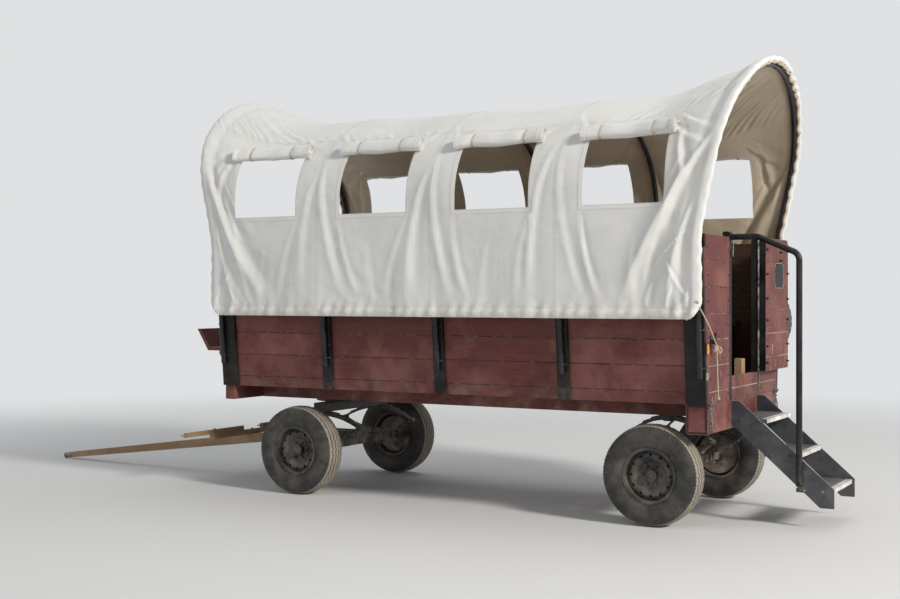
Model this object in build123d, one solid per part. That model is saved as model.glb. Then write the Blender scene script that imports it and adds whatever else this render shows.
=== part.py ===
from build123d import *
import os
from math import asin, cos, degrees, radians, sin, tan

# A passenger covered wagon on rubber tyres, drawn to a horse team's pole.
# Lengths are in millimetres. While it is drawn, x = 0 is the rear face of the box,
# +X points forward, +Y is the wagon's left and the tyres stand on z = 0.

# Box: a planked floor between two side walls that lean outward
BOX_LENGTH = 4270
BOX_TOP_WIDTH = 1930
WALL_BOTTOM_Z = 890
WALL_TOP_Z = 2080
FLARE = 5
BOARD = 38
PLANK_HEIGHT = 184
SEAM_WIDTH = 5
SEAM_DEPTH = 4
FLOOR_Z = 1000
DECK = 40
DECK_PLANK = 137
BEARER_WIDTH = 70
BEARER_COUNT = 6
TRIM = 30
TOP_RAIL_HEIGHT = 90
TOP_RAIL_OVERHANG = 17
TOP_RAIL_DOOR_OVERHANG = 8
CORNER_POST_WIDTH = 150
SIDE_POST_WIDTH = 90

# Doorway in the rear wall, and its half-height door
DOOR_WIDTH = 640
DOOR_HEIGHT = 1030
DOOR_THICKNESS = 50
DOOR_BOTTOM_Z = 1070
DOOR_SIDE_GAP = 3
DOOR_FLOOR_GAP = 10
DOOR_CLIP = 28
HINGE_Y = -330
HINGE_RADIUS = 7
HINGE_PIN_RADIUS = 3
HINGE_LEAF = 28
HINGE_LEAF_THICKNESS = 3
HINGE_KNUCKLES = 9
HINGE_END_GAP = 1.5
EDGING = 3
LATCH_Z = 1965
LATCH_FROM_HINGE = 400
LATCH_PLATE = (44, 96, 2)
LATCH_BAR_HEIGHT = 25
LATCH_BAR_THICKNESS = 5
LATCH_INSET = 4
KEEPER = 6
NEAR_JAMB_WIDTH = 60
FAR_JAMB_WIDTH = 50
JAMB_DEPTH = 50
JAMB_TOP_Z = 2120
NEAR_GAP = 7

# Underframe
SILL_Y = 430
SILL_WIDTH = 100
SILL_BOTTOM_Z = 770
REAR_BEAM_DEPTH = 160
REAR_BEAM_BOTTOM_Z = 680
REAR_BEAM_ROUND = 14
FRONT_BEAM_DEPTH = 100
FRONT_BEAM_ROUND = 8

# Running gear
REAR_AXLE_X = 440
FRONT_AXLE_SETBACK = 720
AXLE_BEAM = 70
AXLE_BEAM_HALF_LENGTH = 640
TYRE_DIAMETER = 733
TYRE_WIDTH = 215
TYRE_SHOULDER_DROP = 13
TYRE_BELLY_DROP = 8
WHEEL_Y = 760
RIM_RADIUS = 190
RIM_THICKNESS = 8
RIM_HALF_WIDTH = 90
RIM_FLANGE = 13
RIM_FLANGE_THICKNESS = 6
DISC_Y = 20
DISC_THICKNESS = 8
DISC_BORE_RADIUS = 46
STUD_CIRCLE = 139.7
STUD_LAND = 22
STUD_COUNT = 6
STUD_RADIUS = 7
STUD_REACH = 22
NUT_RADIUS = 11
NUT_HEIGHT = 14
DISH = 24
VENT_CIRCLE_RADIUS = 150
VENT_RADIUS = 11
VENT_COUNT = 12
SPINDLE_RADIUS = 25
SPINDLE_COLLAR_RADIUS = 40
HUB_RADIUS = 45
HUB_INNER_Y = 70
HUB_OUTER_Y = 60
HUB_FLANGE = 12
HUB_FLANGE_RADIUS = 85
HUB_CAP = 20
HUB_CAP_RADIUS = 34
RUNNING_FIT = 0.06
SLIP = 0.3
END_PLAY = 5

# Elliptic springs between the axles and what they carry
SPRING_WIDTH = 60
LEAF = 9
LEAF_COUNT = 4
LEAF_STEP = 0.2
SPRING_EYE_RADIUS = 18
REAR_SPRING_HALF_LENGTH = 330
FRONT_SPRING_HALF_LENGTH = 360
SPRING_CLIP = 8
SPRING_CLIP_WIDTH = 64

# Turntable of the front axle
TURNTABLE_RADIUS = 310
TURNTABLE_RING = 70
TURNTABLE_PLATE = 18
TURNTABLE_GAP = 0.5
BOLSTER_WIDTH = 140
LOWER_BOLSTER_HEIGHT = 72
LOWER_BOLSTER_HALF_LENGTH = 480
KINGPIN_RADIUS = 20
KINGPIN_REACH = 70

# Pole, which rests its tip on the ground, with its evener and singletrees
POLE_LENGTH = 3200
POLE_HINGE_REACH = 330
POLE_HINGE_Z = 430
POLE_ROOT_WIDTH = 90
POLE_ROOT_HEIGHT = 84
POLE_TIP_RADIUS = 27.5
POLE_FERRULE_LENGTH = 110
POLE_PIN_RADIUS = 14
POLE_HEEL = 50
HOUND_GAP = 7
HOUND_THICKNESS = 30
HOUND_HEIGHT = 60
HOUND_TAIL = 110
HOUND_NOSE = 45
HOUND_BRACE_Y = 330
HOUND_BRACE_RADIUS = 12
HOUND_BRACE_PAD = 10
EVENER_REACH = 780
EVENER_LENGTH = 1150
EVENER_END = 45
EVENER_WIDTH = 90
EVENER_HEIGHT = 44
SINGLETREE_LENGTH = 780
SINGLETREE_WIDTH = 62
SINGLETREE_HEIGHT = 40
TREE_PIN_RADIUS = 11
TREE_PIN_HEAD = 8
TREE_END_SHARE = 0.6
TREE_MIDDLE_SHARE = 0.35
TRACE_EYE_RADIUS = 20
TRACE_EYE_BAR = 6
TRACE_EYE_REACH = 22

# Bows and canvas
BOW_RADIUS = 21
BOW_FOOT_Z = 1080
BOW_SPACING_COUNT = 4
BOW_END_INSET = 35
CANVAS = 10
CANVAS_HEM_Z = 1490
CANVAS_RIDGE_Z = 3180
CANVAS_END_X = 20
CANVAS_LEAN = 12
CANVAS_LEAN_Z = 2100
CANVAS_CORNER_CUT = 100
EAVE_RADIUS = 640
ROOF_FLAT = 33
CROWN_SLOPE = 40
END_BOW_DROP = 70
END_EAVE_RADIUS = 640
END_ROOF_FLAT = 60
END_CROWN_SLOPE = 46
BOW_BEND_RADIUS = 260
BOW_BEND_Z = 2120
WINDOW_WIDTH = 620
WINDOW_BOTTOM_Z = 2300
WINDOW_TOP_Z = 2800
WINDOW_DEPTH = 460

# How far the ridge climbs above its level middle: distance in from the box's end, rise
CANVAS_RISE = [(-300, 250), (0, 152), (200, 88), (450, 29), (700, 9), (1085, 0)]

# Seats and footboard
BENCH_SEAT_Z = 1450
BENCH_DEPTH = 400
BENCH_BOARD = 35
BENCH_LEG_COUNT = 4
BENCH_LEG_INSET = 60
BENCH_REAR_X = 300
BENCH_FRONT_GAP = 800
FRONT_WALL_TOP_Z = 1700
DRIVER_SEAT_DEPTH = 410
DRIVER_BACK_Z = (1870, 2050)
DRIVER_BACK_THICKNESS = 28
FOOTBOARD_DEPTH = 400
FOOTBOARD_HALF_WIDTH = 620
FOOTBOARD_Z = 1200
FOOTBOARD_BOARD = 32
TOE_BOARD_RISE = 190
TOE_BOARD_RUN = 120
FOOT_BRACKET_Y = 500
FOOT_BRACKET = 12
FOOT_BRACKET_DROP = 270
FOOT_BRACKET_TIP = 35

# Rear steps and handrail
STEP_COUNT = 3
STRINGER = 6
STRINGER_DEPTH = 130
STRINGER_HEAD = 60
STRINGER_HEEL = 40
STRINGER_TOE = 30
STRINGER_FOOT = 100
TREAD_THICKNESS = 30
TREAD_DEPTH = 250
TREAD_REACH = 10
STEP_RISE = 240
STEP_GOING = 230
LOW_TREAD_Z = 280
RAIL_RADIUS = 22
RAIL_TOP_Z = 2080
RAIL_SLOPE_START = 200
RAIL_LEG_X = 500
RAIL_LEG_TOP_Z = 1950
RAIL_FOOT_Z = 300
RAIL_BEND_RADIUS = 70
RAIL_PLATE = 60
RAIL_PLATE_THICKNESS = 8
RAIL_STANDOFF = 25
RAIL_LUG_RISES = (20, 160)
RAIL_LUG_WIDTH = 40
RAIL_LUG_HEIGHT = 30

# Spare wheel on the right side, its arm hung from the top rail by a flat hook
SPARE_X = 330
SPARE_Z = 1440
SPARE_CANVAS_GAP = 8
CARRIER_RADIUS = 30
CARRIER_PLATE = 10
CARRIER_BASE = 180
CARRIER_FLANGE_RADIUS = 88
HANGER_X = 395
HANGER_WIDTH = 40
HANGER = 5
HANGER_TAIL = 120

# Rope tie at the left rear corner
ROPE = 10
CLEAT_Y = 800
CLEAT_Z = 1330
CLEAT_HEIGHT = 130
CLEAT_STEM = 34
CLEAT_STEM_RADIUS = 16
CLEAT_HORN_RADIUS = 8
CLEAT_PLATE = 8
CLEAT_PLATE_WIDTH = 44
CLEAT_PLATE_HEIGHT = 78
HITCH_RADIUS = 22
END_KNOT_RADIUS = 15

# Worked out from the sizes above
AXLE_Z = TYRE_DIAMETER / 2
AXLE_TOP_Z = AXLE_Z + AXLE_BEAM / 2
FRONT_AXLE_X = BOX_LENGTH - FRONT_AXLE_SETBACK
BEARER_TOP_Z = FLOOR_Z - DECK
DOORWAY_Y = HINGE_Y + DOOR_SIDE_GAP + DOOR_WIDTH + NEAR_GAP
RAIL_Y = DOORWAY_Y + NEAR_JAMB_WIDTH / 2
STEP_HALF_WIDTH = RAIL_Y - RAIL_STANDOFF - STRINGER
HINGE_X = -HINGE_RADIUS - SLIP
UPPER_RING_Z = SILL_BOTTOM_Z - TURNTABLE_PLATE
LOWER_RING_Z = UPPER_RING_Z - TURNTABLE_GAP - TURNTABLE_PLATE
LOWER_BOLSTER_Z = LOWER_RING_Z - LOWER_BOLSTER_HEIGHT
POLE_X = FRONT_AXLE_X + POLE_HINGE_REACH
POLE_DROP = degrees(asin((POLE_HINGE_Z - POLE_TIP_RADIUS) / POLE_LENGTH))
SINGLETREE_Y = EVENER_LENGTH / 2 - EVENER_END
CANVAS_END_RIDGE_Z = CANVAS_RIDGE_Z + CANVAS_RISE[0][1]
END_BOW_RIDGE_Z = CANVAS_END_RIDGE_Z - END_BOW_DROP
BOW_STATIONS = [BOW_END_INSET + i * (BOX_LENGTH - 2 * BOW_END_INSET) / BOW_SPACING_COUNT
                for i in range(BOW_SPACING_COUNT + 1)]


def block(x, y, z):
    """A box between two places along each axis."""
    spans = [sorted(s) for s in (x, y, z)]
    centre = [(low + high) / 2 for low, high in spans]
    return Pos(*centre) * Box(*[high - low for low, high in spans])


def rod(start, end, radius):
    """A round bar between two points."""
    way = Vector(*end) - Vector(*start)
    bar = Cylinder(radius, way.length, align=(Align.CENTER, Align.CENTER, Align.MIN))
    return Plane(origin=start, z_dir=way) * bar


def slab(x, points):
    """An outline of (y, z) points carried along X."""
    face = make_face(Polyline(*[(x[0], y, z) for y, z in points], close=True))
    return extrude(face, x[1] - x[0], dir=(1, 0, 0))


def side_plate(y, points):
    """An outline of (x, z) points carried along Y."""
    face = make_face(Polyline(*[(x, y[0], z) for x, z in points], close=True))
    return extrude(face, y[1] - y[0], dir=(0, 1, 0))


def other_side(piece):
    """The same piece on the right of the wagon."""
    return mirror(piece, about=Plane.XZ)


def both_sides(piece):
    return [piece, other_side(piece)]


def wall_y(z, out=0.0):
    """Distance from the centre plane to the side wall's outer face, moved out by a thickness."""
    lean = radians(FLARE)
    return BOX_TOP_WIDTH / 2 - (WALL_TOP_Z - z) * tan(lean) + out / cos(lean)


def side_board(x, z, inner, outer):
    """A board along the left wall, between two distances from the wall's outer face."""
    return slab(x, [(wall_y(z[0], inner), z[0]), (wall_y(z[0], outer), z[0]),
                    (wall_y(z[1], outer), z[1]), (wall_y(z[1], inner), z[1])])


def across(x, z):
    """A board from one side wall's inner face to the other's."""
    low, high = wall_y(z[0], -BOARD), wall_y(z[1], -BOARD)
    return slab(x, [(-low, z[0]), (low, z[0]), (high, z[1]), (-high, z[1])])


def plank_seams(top, bottom):
    """Heights of the seams between planks, counted down from the top edge."""
    heights = []
    z = top - PLANK_HEIGHT
    while z > bottom + SEAM_WIDTH:
        heights.append(z)
        z -= PLANK_HEIGHT
    return heights


def seamed(wall, x_faces, y, top, bottom):
    """Cut the seams of an end wall or door into its two faces."""
    for z in plank_seams(top, bottom):
        for x in x_faces:
            wall -= block((x - SEAM_DEPTH, x + SEAM_DEPTH), y, (z - SEAM_WIDTH / 2, z + SEAM_WIDTH / 2))
    return wall


def side_wall():
    wall = side_board((0, BOX_LENGTH), (WALL_BOTTOM_Z, WALL_TOP_Z), -BOARD, 0)
    for z in plank_seams(WALL_TOP_Z, WALL_BOTTOM_Z):
        for face in (0, -BOARD):
            y = wall_y(z, face)
            wall -= block((-1, BOX_LENGTH + 1), (y - SEAM_DEPTH, y + SEAM_DEPTH),
                          (z - SEAM_WIDTH / 2, z + SEAM_WIDTH / 2))
    return wall


def side_posts():
    """Boards under the bows, the end ones wide and flush with the box ends."""
    posts = []
    for i, x in enumerate(BOW_STATIONS):
        if i == 0:
            span = (0, CORNER_POST_WIDTH)
        elif i == BOW_SPACING_COUNT:
            span = (BOX_LENGTH - CORNER_POST_WIDTH, BOX_LENGTH)
        else:
            span = (x - SIDE_POST_WIDTH / 2, x + SIDE_POST_WIDTH / 2)
        posts.append(side_board(span, (WALL_BOTTOM_Z, WALL_TOP_Z - TOP_RAIL_HEIGHT), 0, TRIM))
    return posts


def top_rail(rear_overhang):
    return side_board((-rear_overhang, BOX_LENGTH + TOP_RAIL_OVERHANG),
                      (WALL_TOP_Z - TOP_RAIL_HEIGHT, WALL_TOP_Z), 0, TRIM)


def floor_deck():
    deck = across((JAMB_DEPTH, BOX_LENGTH - BOARD), (BEARER_TOP_Z, FLOOR_Z))
    count = int(wall_y(FLOOR_Z, -BOARD) / DECK_PLANK)
    for i in range(-count, count + 1):
        y = i * DECK_PLANK
        deck -= block((0, BOX_LENGTH), (y - SEAM_WIDTH / 2, y + SEAM_WIDTH / 2),
                      (FLOOR_Z - SEAM_DEPTH, FLOOR_Z + 1))
    return deck


def bearers():
    first = REAR_BEAM_DEPTH + BEARER_WIDTH
    last = BOX_LENGTH - FRONT_BEAM_DEPTH - BEARER_WIDTH
    step = (last - first) / (BEARER_COUNT - 1)
    half = BEARER_WIDTH / 2
    return [across((first + i * step - half, first + i * step + half), (WALL_BOTTOM_Z, BEARER_TOP_Z))
            for i in range(BEARER_COUNT)]


def end_beams():
    half = wall_y(WALL_BOTTOM_Z)
    rear = block((0, REAR_BEAM_DEPTH), (-half, half), (REAR_BEAM_BOTTOM_Z, WALL_BOTTOM_Z))
    front = block((BOX_LENGTH - FRONT_BEAM_DEPTH, BOX_LENGTH), (-half, half), (SILL_BOTTOM_Z, WALL_BOTTOM_Z))
    rear = fillet(rear.edges().filter_by(Axis.Y), REAR_BEAM_ROUND)
    return rear, fillet(front.edges().filter_by(Axis.Y), FRONT_BEAM_ROUND)


def sill():
    return block((REAR_BEAM_DEPTH, BOX_LENGTH - FRONT_BEAM_DEPTH),
                 (SILL_Y - SILL_WIDTH / 2, SILL_Y + SILL_WIDTH / 2), (SILL_BOTTOM_Z, WALL_BOTTOM_Z))


def rear_wall(edge, side):
    """Planks of the rear wall from a jamb's back to the side wall on the left (1) or the right (-1)."""
    low, high = WALL_BOTTOM_Z, WALL_TOP_Z
    wall = slab((0, BOARD), [(edge, low), (side * wall_y(low, -BOARD), low), (side * wall_y(high, -BOARD), high),
                             (edge, high)])
    return seamed(wall, (0, BOARD), (edge - side, side * BOX_TOP_WIDTH), high, low)


def jamb_posts():
    posts = []
    for y in ((DOORWAY_Y, DOORWAY_Y + NEAR_JAMB_WIDTH), (HINGE_Y - FAR_JAMB_WIDTH, HINGE_Y)):
        post = block((0, JAMB_DEPTH), y, (WALL_BOTTOM_Z, JAMB_TOP_Z))
        posts.append(fillet(post.edges().group_by(Axis.Z)[-1].filter_by(Axis.Y), 12))
    return posts


def threshold():
    return block((0, JAMB_DEPTH), (HINGE_Y, DOORWAY_Y), (WALL_BOTTOM_Z, DOOR_BOTTOM_Z - DOOR_FLOOR_GAP))


def front_wall():
    wall = across((BOX_LENGTH - BOARD, BOX_LENGTH), (WALL_BOTTOM_Z, FRONT_WALL_TOP_Z))
    return seamed(wall, (BOX_LENGTH - BOARD, BOX_LENGTH), (-BOX_TOP_WIDTH, BOX_TOP_WIDTH),
                  FRONT_WALL_TOP_Z, WALL_BOTTOM_Z)


def opened(piece):
    """Turn a piece of the closed door half a turn about the hinge, to where it is parked."""
    return Pos(HINGE_X, HINGE_Y, 0) * Rot(0, 0, 180) * Pos(-HINGE_X, -HINGE_Y, 0) * piece


def door():
    """The planked door, drawn closed, with the clipped corner at its free edge."""
    y = (HINGE_Y + DOOR_SIDE_GAP + EDGING, HINGE_Y + DOOR_SIDE_GAP + DOOR_WIDTH)
    z = (DOOR_BOTTOM_Z, DOOR_BOTTOM_Z + DOOR_HEIGHT - EDGING)
    panel = slab((0, DOOR_THICKNESS), [(y[0], z[0]), (y[1], z[0]), (y[1], z[1] - DOOR_CLIP),
                                       (y[1] - DOOR_CLIP, z[1]), (y[0], z[1])])
    return seamed(panel, (0, DOOR_THICKNESS), (y[0] - 1, y[1] + 1), z[1], z[0])


def door_edging():
    """Black steel strips on the hinge edge and the top edge of the closed door."""
    y = (HINGE_Y + DOOR_SIDE_GAP, HINGE_Y + DOOR_SIDE_GAP + DOOR_WIDTH - DOOR_CLIP)
    z = (DOOR_BOTTOM_Z, DOOR_BOTTOM_Z + DOOR_HEIGHT)
    return slab((0, DOOR_THICKNESS), [(y[0], z[0]), (y[0] + EDGING, z[0]), (y[0] + EDGING, z[1] - EDGING),
                                      (y[1], z[1] - EDGING), (y[1], z[1]), (y[0], z[1])])


def door_latch():
    """Slide bolt on the closed door's outer face, drawn back inside the door's free edge."""
    width, height, thickness = LATCH_PLATE
    y = HINGE_Y + LATCH_FROM_HINGE
    edge = HINGE_Y + DOOR_SIDE_GAP + DOOR_WIDTH - LATCH_INSET
    latch = block((-thickness, 0), (y - width / 2, y + width / 2),
                  (LATCH_Z - height / 2, LATCH_Z + height / 2))
    return latch + block((-thickness - LATCH_BAR_THICKNESS, 0), (y - width / 2, edge),
                         (LATCH_Z - LATCH_BAR_HEIGHT / 2, LATCH_Z + LATCH_BAR_HEIGHT / 2))


def door_keeper():
    """Staple on the near jamb that takes the slide bolt."""
    room = LATCH_PLATE[2] + LATCH_BAR_THICKNESS + SLIP
    half = LATCH_BAR_HEIGHT / 2 + SLIP
    y = (DOORWAY_Y + KEEPER, DOORWAY_Y + 4 * KEEPER)
    staple = block((-room - KEEPER, 0), y, (LATCH_Z - half - KEEPER, LATCH_Z + half + KEEPER))
    return staple - block((-room, 1), (y[0] - 1, y[1] + 1), (LATCH_Z - half, LATCH_Z + half))


def hinge_leaves():
    """A long hinge: even knuckles stay on the jamb with the pin, odd ones turn with the closed door."""
    bottom = DOOR_BOTTOM_Z + HINGE_END_GAP
    pitch = (DOOR_HEIGHT - EDGING - 2 * HINGE_END_GAP) / HINGE_KNUCKLES
    z = (bottom, bottom + pitch * HINGE_KNUCKLES)
    web = (-HINGE_LEAF_THICKNESS, -SLIP)
    fixed = block((-HINGE_LEAF_THICKNESS, 0), (HINGE_Y - HINGE_LEAF, HINGE_Y - HINGE_RADIUS), z)
    moving = block((-HINGE_LEAF_THICKNESS, 0), (HINGE_Y + HINGE_RADIUS, HINGE_Y + HINGE_LEAF), z)
    bore = rod((HINGE_X, HINGE_Y, 0), (HINGE_X, HINGE_Y, JAMB_TOP_Z), HINGE_PIN_RADIUS + RUNNING_FIT)
    for i in range(HINGE_KNUCKLES):
        low = bottom + i * pitch + HINGE_END_GAP / 2
        high = low + pitch - HINGE_END_GAP
        knuckle = rod((HINGE_X, HINGE_Y, low), (HINGE_X, HINGE_Y, high), HINGE_RADIUS)
        if i % 2 == 0:
            fixed += knuckle + block(web, (HINGE_Y - HINGE_LEAF, HINGE_Y), (low, high))
        else:
            knuckle -= bore
            leaf = (HINGE_Y + HINGE_PIN_RADIUS + 1, HINGE_Y + HINGE_LEAF)
            moving += knuckle + block(web, leaf, (low, high))
    fixed += rod((HINGE_X, HINGE_Y, z[0]), (HINGE_X, HINGE_Y, z[1]), HINGE_PIN_RADIUS)
    return fixed, moving


def revolve_y(points):
    """A ring about the Y axis from (radius, y) points."""
    face = make_face(Polyline(*[(radius, y, 0) for radius, y in points], close=True))
    return revolve(face, Axis.Y)


def tyre():
    outer, half = TYRE_DIAMETER / 2, TYRE_WIDTH / 2
    bead, bead_half = RIM_RADIUS + SLIP, RIM_HALF_WIDTH - RIM_FLANGE_THICKNESS - SLIP
    lip = RIM_RADIUS + RIM_FLANGE + SLIP
    shoulder, shoulder_half = outer - TYRE_SHOULDER_DROP, half * 0.8
    belly = (lip + outer) / 2 - TYRE_BELLY_DROP
    wall = ThreePointArc((lip, bead_half, 0), (belly, half, 0), (shoulder, shoulder_half, 0))
    tread = ThreePointArc((shoulder, shoulder_half, 0), (outer, 0, 0), (shoulder, -shoulder_half, 0))
    back = ThreePointArc((shoulder, -shoulder_half, 0), (belly, -half, 0), (lip, -bead_half, 0))
    seat = Polyline((lip, -bead_half, 0), (bead, -bead_half, 0), (bead, bead_half, 0), (lip, bead_half, 0))
    return revolve(make_face([wall, tread, back, seat]), Axis.Y)


def wheel_disc():
    """Pressed rim and dished disc with its vents and stud holes, outboard towards +Y."""
    inner, half = RIM_RADIUS - RIM_THICKNESS, RIM_HALF_WIDTH
    flange = RIM_RADIUS + RIM_FLANGE
    lip = half - RIM_FLANGE_THICKNESS
    rim = revolve_y([(inner, -half), (inner, half), (flange, half), (flange, lip), (RIM_RADIUS, lip),
                     (RIM_RADIUS, -lip), (flange, -lip), (flange, -half)])
    crest = VENT_CIRCLE_RADIUS
    face = [(DISC_BORE_RADIUS, 0), (STUD_CIRCLE / 2 + STUD_LAND, 0), (crest - 2 * VENT_RADIUS, DISH),
            (crest, DISH + 2), (inner + 1, DISH / 3)]
    near = [(radius, DISC_Y + y) for radius, y in face]
    far = [(radius, DISC_Y + y + DISC_THICKNESS) for radius, y in reversed(face)]
    wheel = rim + revolve_y(near + far)
    for i in range(VENT_COUNT):
        wheel -= Rot(0, i * 360 / VENT_COUNT, 0) * rod((crest, 0, 0), (crest, RIM_HALF_WIDTH, 0), VENT_RADIUS)
    return wheel


def stud_places():
    turns = [radians(i * 360 / STUD_COUNT) for i in range(STUD_COUNT)]
    return [(STUD_CIRCLE / 2 * cos(turn), STUD_CIRCLE / 2 * sin(turn)) for turn in turns]


def wheel_nuts(low):
    """Studs and nuts that hold a disc, standing out from a flange at y = low."""
    nuts = []
    for x, z in stud_places():
        nut = Pos(x, low, z) * Rot(-90, 0, 0) * extrude(RegularPolygon(NUT_RADIUS, 6), NUT_HEIGHT)
        nuts.append(nut + rod((x, low, z), (x, low + STUD_REACH, z), STUD_RADIUS - 1))
    return nuts


def road_wheel():
    """Disc wheel bolted to its hub, with a blind bore for the axle spindle."""
    low = DISC_Y - HUB_FLANGE
    hub = revolve_y([(0, -HUB_INNER_Y), (HUB_RADIUS, -HUB_INNER_Y), (HUB_RADIUS, low), (HUB_FLANGE_RADIUS, low),
                     (HUB_FLANGE_RADIUS, DISC_Y), (HUB_RADIUS, DISC_Y), (HUB_RADIUS, HUB_OUTER_Y),
                     (HUB_CAP_RADIUS, HUB_OUTER_Y + HUB_CAP / 4),
                     (HUB_CAP_RADIUS * 0.9, HUB_OUTER_Y + HUB_CAP * 0.8), (0, HUB_OUTER_Y + HUB_CAP)])
    hub -= rod((0, -HUB_INNER_Y - 1, 0), (0, HUB_OUTER_Y - END_PLAY, 0), SPINDLE_RADIUS + RUNNING_FIT)
    wheel = wheel_disc() + hub
    for nut in wheel_nuts(DISC_Y + DISC_THICKNESS):
        wheel += nut
    return wheel


def axle(x):
    """Square beam with a collar and a round spindle at each end."""
    half, reach = AXLE_BEAM / 2, AXLE_BEAM_HALF_LENGTH
    beam = block((x - half, x + half), (-reach, reach), (AXLE_Z - half, AXLE_Z + half))
    tip = WHEEL_Y + HUB_OUTER_Y - 2 * END_PLAY
    collar = WHEEL_Y - HUB_INNER_Y - END_PLAY
    for side in (-1, 1):
        beam += rod((x, side * reach, AXLE_Z), (x, side * collar, AXLE_Z), SPINDLE_COLLAR_RADIUS)
    beam += rod((x, -tip, AXLE_Z), (x, tip, AXLE_Z), SPINDLE_RADIUS)
    return beam


def half_spring(half_length, rise):
    """Bowed leaves of the upper half, drawn in XZ with the tips at z = 0."""
    radius = (half_length ** 2 + rise ** 2) / (2 * rise)
    leaves = None
    for i in range(LEAF_COUNT):
        reach = half_length * (1 - LEAF_STEP * i)
        ring = Circle(radius + (i + 1) * LEAF) - Circle(radius + i * LEAF)
        ring &= Pos(0, radius) * Rectangle(2 * reach, 2 * radius)
        leaf = Pos(0, SPRING_WIDTH / 2, rise - radius) * extrude(Plane.XZ * ring, SPRING_WIDTH)
        leaves = leaf if leaves is None else leaves + leaf
    return leaves


def elliptic_spring(x, y, low, high, half_length):
    """Two bowed halves joined at their eyes, filling the height from low to high."""
    rise = (high - low) / 2 - LEAF_COUNT * LEAF
    half_clip = SPRING_WIDTH / 2 + SPRING_CLIP
    clip = block((-SPRING_CLIP_WIDTH / 2, SPRING_CLIP_WIDTH / 2), (-half_clip, half_clip),
                 (rise - SPRING_CLIP, rise + LEAF_COUNT * LEAF))
    upper = half_spring(half_length, rise) + clip
    lower = mirror(upper, about=Plane.XY)
    spring = upper + lower
    for end in (-half_length, half_length):
        spring += rod((end, -SPRING_WIDTH / 2, 0), (end, SPRING_WIDTH / 2, 0), SPRING_EYE_RADIUS)
    return Pos(x, y, (low + high) / 2) * spring


def turntable_ring(low):
    ring = Cylinder(TURNTABLE_RADIUS, TURNTABLE_PLATE)
    ring -= Cylinder(TURNTABLE_RADIUS - TURNTABLE_RING, TURNTABLE_PLATE)
    return Pos(FRONT_AXLE_X, 0, low + TURNTABLE_PLATE / 2) * ring


def cross_block(half_length, low, high):
    """A beam across the wagon over the front axle, as wide as the bolsters."""
    half = BOLSTER_WIDTH / 2
    return block((FRONT_AXLE_X - half, FRONT_AXLE_X + half), (-half_length, half_length), (low, high))


def upper_turntable():
    """Cross bolster between the sills and the ring under it, bored for the kingpin."""
    bolster = cross_block(SILL_Y - SILL_WIDTH / 2, SILL_BOTTOM_Z, WALL_BOTTOM_Z)
    plate = cross_block(TURNTABLE_RADIUS - TURNTABLE_RING / 2, UPPER_RING_Z, SILL_BOTTOM_Z)
    low, high = UPPER_RING_Z - 1, UPPER_RING_Z + KINGPIN_REACH + END_PLAY
    bore = rod((FRONT_AXLE_X, 0, low), (FRONT_AXLE_X, 0, high), KINGPIN_RADIUS + RUNNING_FIT)
    return bolster + plate + turntable_ring(UPPER_RING_Z) - bore


def lower_turntable():
    """Cross bolster over the front springs, with the lower ring and the kingpin."""
    bolster = cross_block(LOWER_BOLSTER_HALF_LENGTH, LOWER_BOLSTER_Z, LOWER_RING_Z)
    plate = cross_block(TURNTABLE_RADIUS - TURNTABLE_RING / 2, LOWER_RING_Z, LOWER_RING_Z + TURNTABLE_PLATE)
    pin_top = UPPER_RING_Z + KINGPIN_REACH
    pin = rod((FRONT_AXLE_X, 0, LOWER_RING_Z), (FRONT_AXLE_X, 0, pin_top), KINGPIN_RADIUS)
    return bolster + plate + turntable_ring(LOWER_RING_Z) + pin


def hounds():
    """Two irons over the front axle that hold the pole's hinge pin, each braced back to the axle."""
    inner = POLE_ROOT_WIDTH / 2 + HOUND_GAP
    outer = inner + HOUND_THICKNESS
    z = (AXLE_TOP_Z, AXLE_TOP_Z + HOUND_HEIGHT)
    tail, face = FRONT_AXLE_X - HOUND_TAIL, FRONT_AXLE_X + AXLE_BEAM / 2
    irons = block((tail, FRONT_AXLE_X - AXLE_BEAM / 2), (-inner, inner), z)
    pad = 2 * HOUND_BRACE_RADIUS
    for side in (-1, 1):
        irons += block((tail, POLE_X + HOUND_NOSE), (side * inner, side * outer), z)
        y = (side * (HOUND_BRACE_Y - pad), side * (HOUND_BRACE_Y + pad))
        irons += block((face, face + HOUND_BRACE_PAD), y, (AXLE_Z - pad, AXLE_Z + pad))
        irons += rod((face + HOUND_BRACE_PAD, side * HOUND_BRACE_Y, AXLE_Z),
                     (POLE_X - HOUND_NOSE, side * (inner + outer) / 2, (z[0] + z[1]) / 2), HOUND_BRACE_RADIUS)
    outer += POLE_PIN_RADIUS
    return irons + rod((POLE_X, -outer, POLE_HINGE_Z), (POLE_X, outer, POLE_HINGE_Z), POLE_PIN_RADIUS)


def on_pole(piece):
    """Carry a piece from the pole's own frame, hinge at the origin and tip along +X, to where it lies."""
    return Pos(POLE_X, 0, POLE_HINGE_Z) * Rot(0, POLE_DROP, 0) * piece


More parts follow.
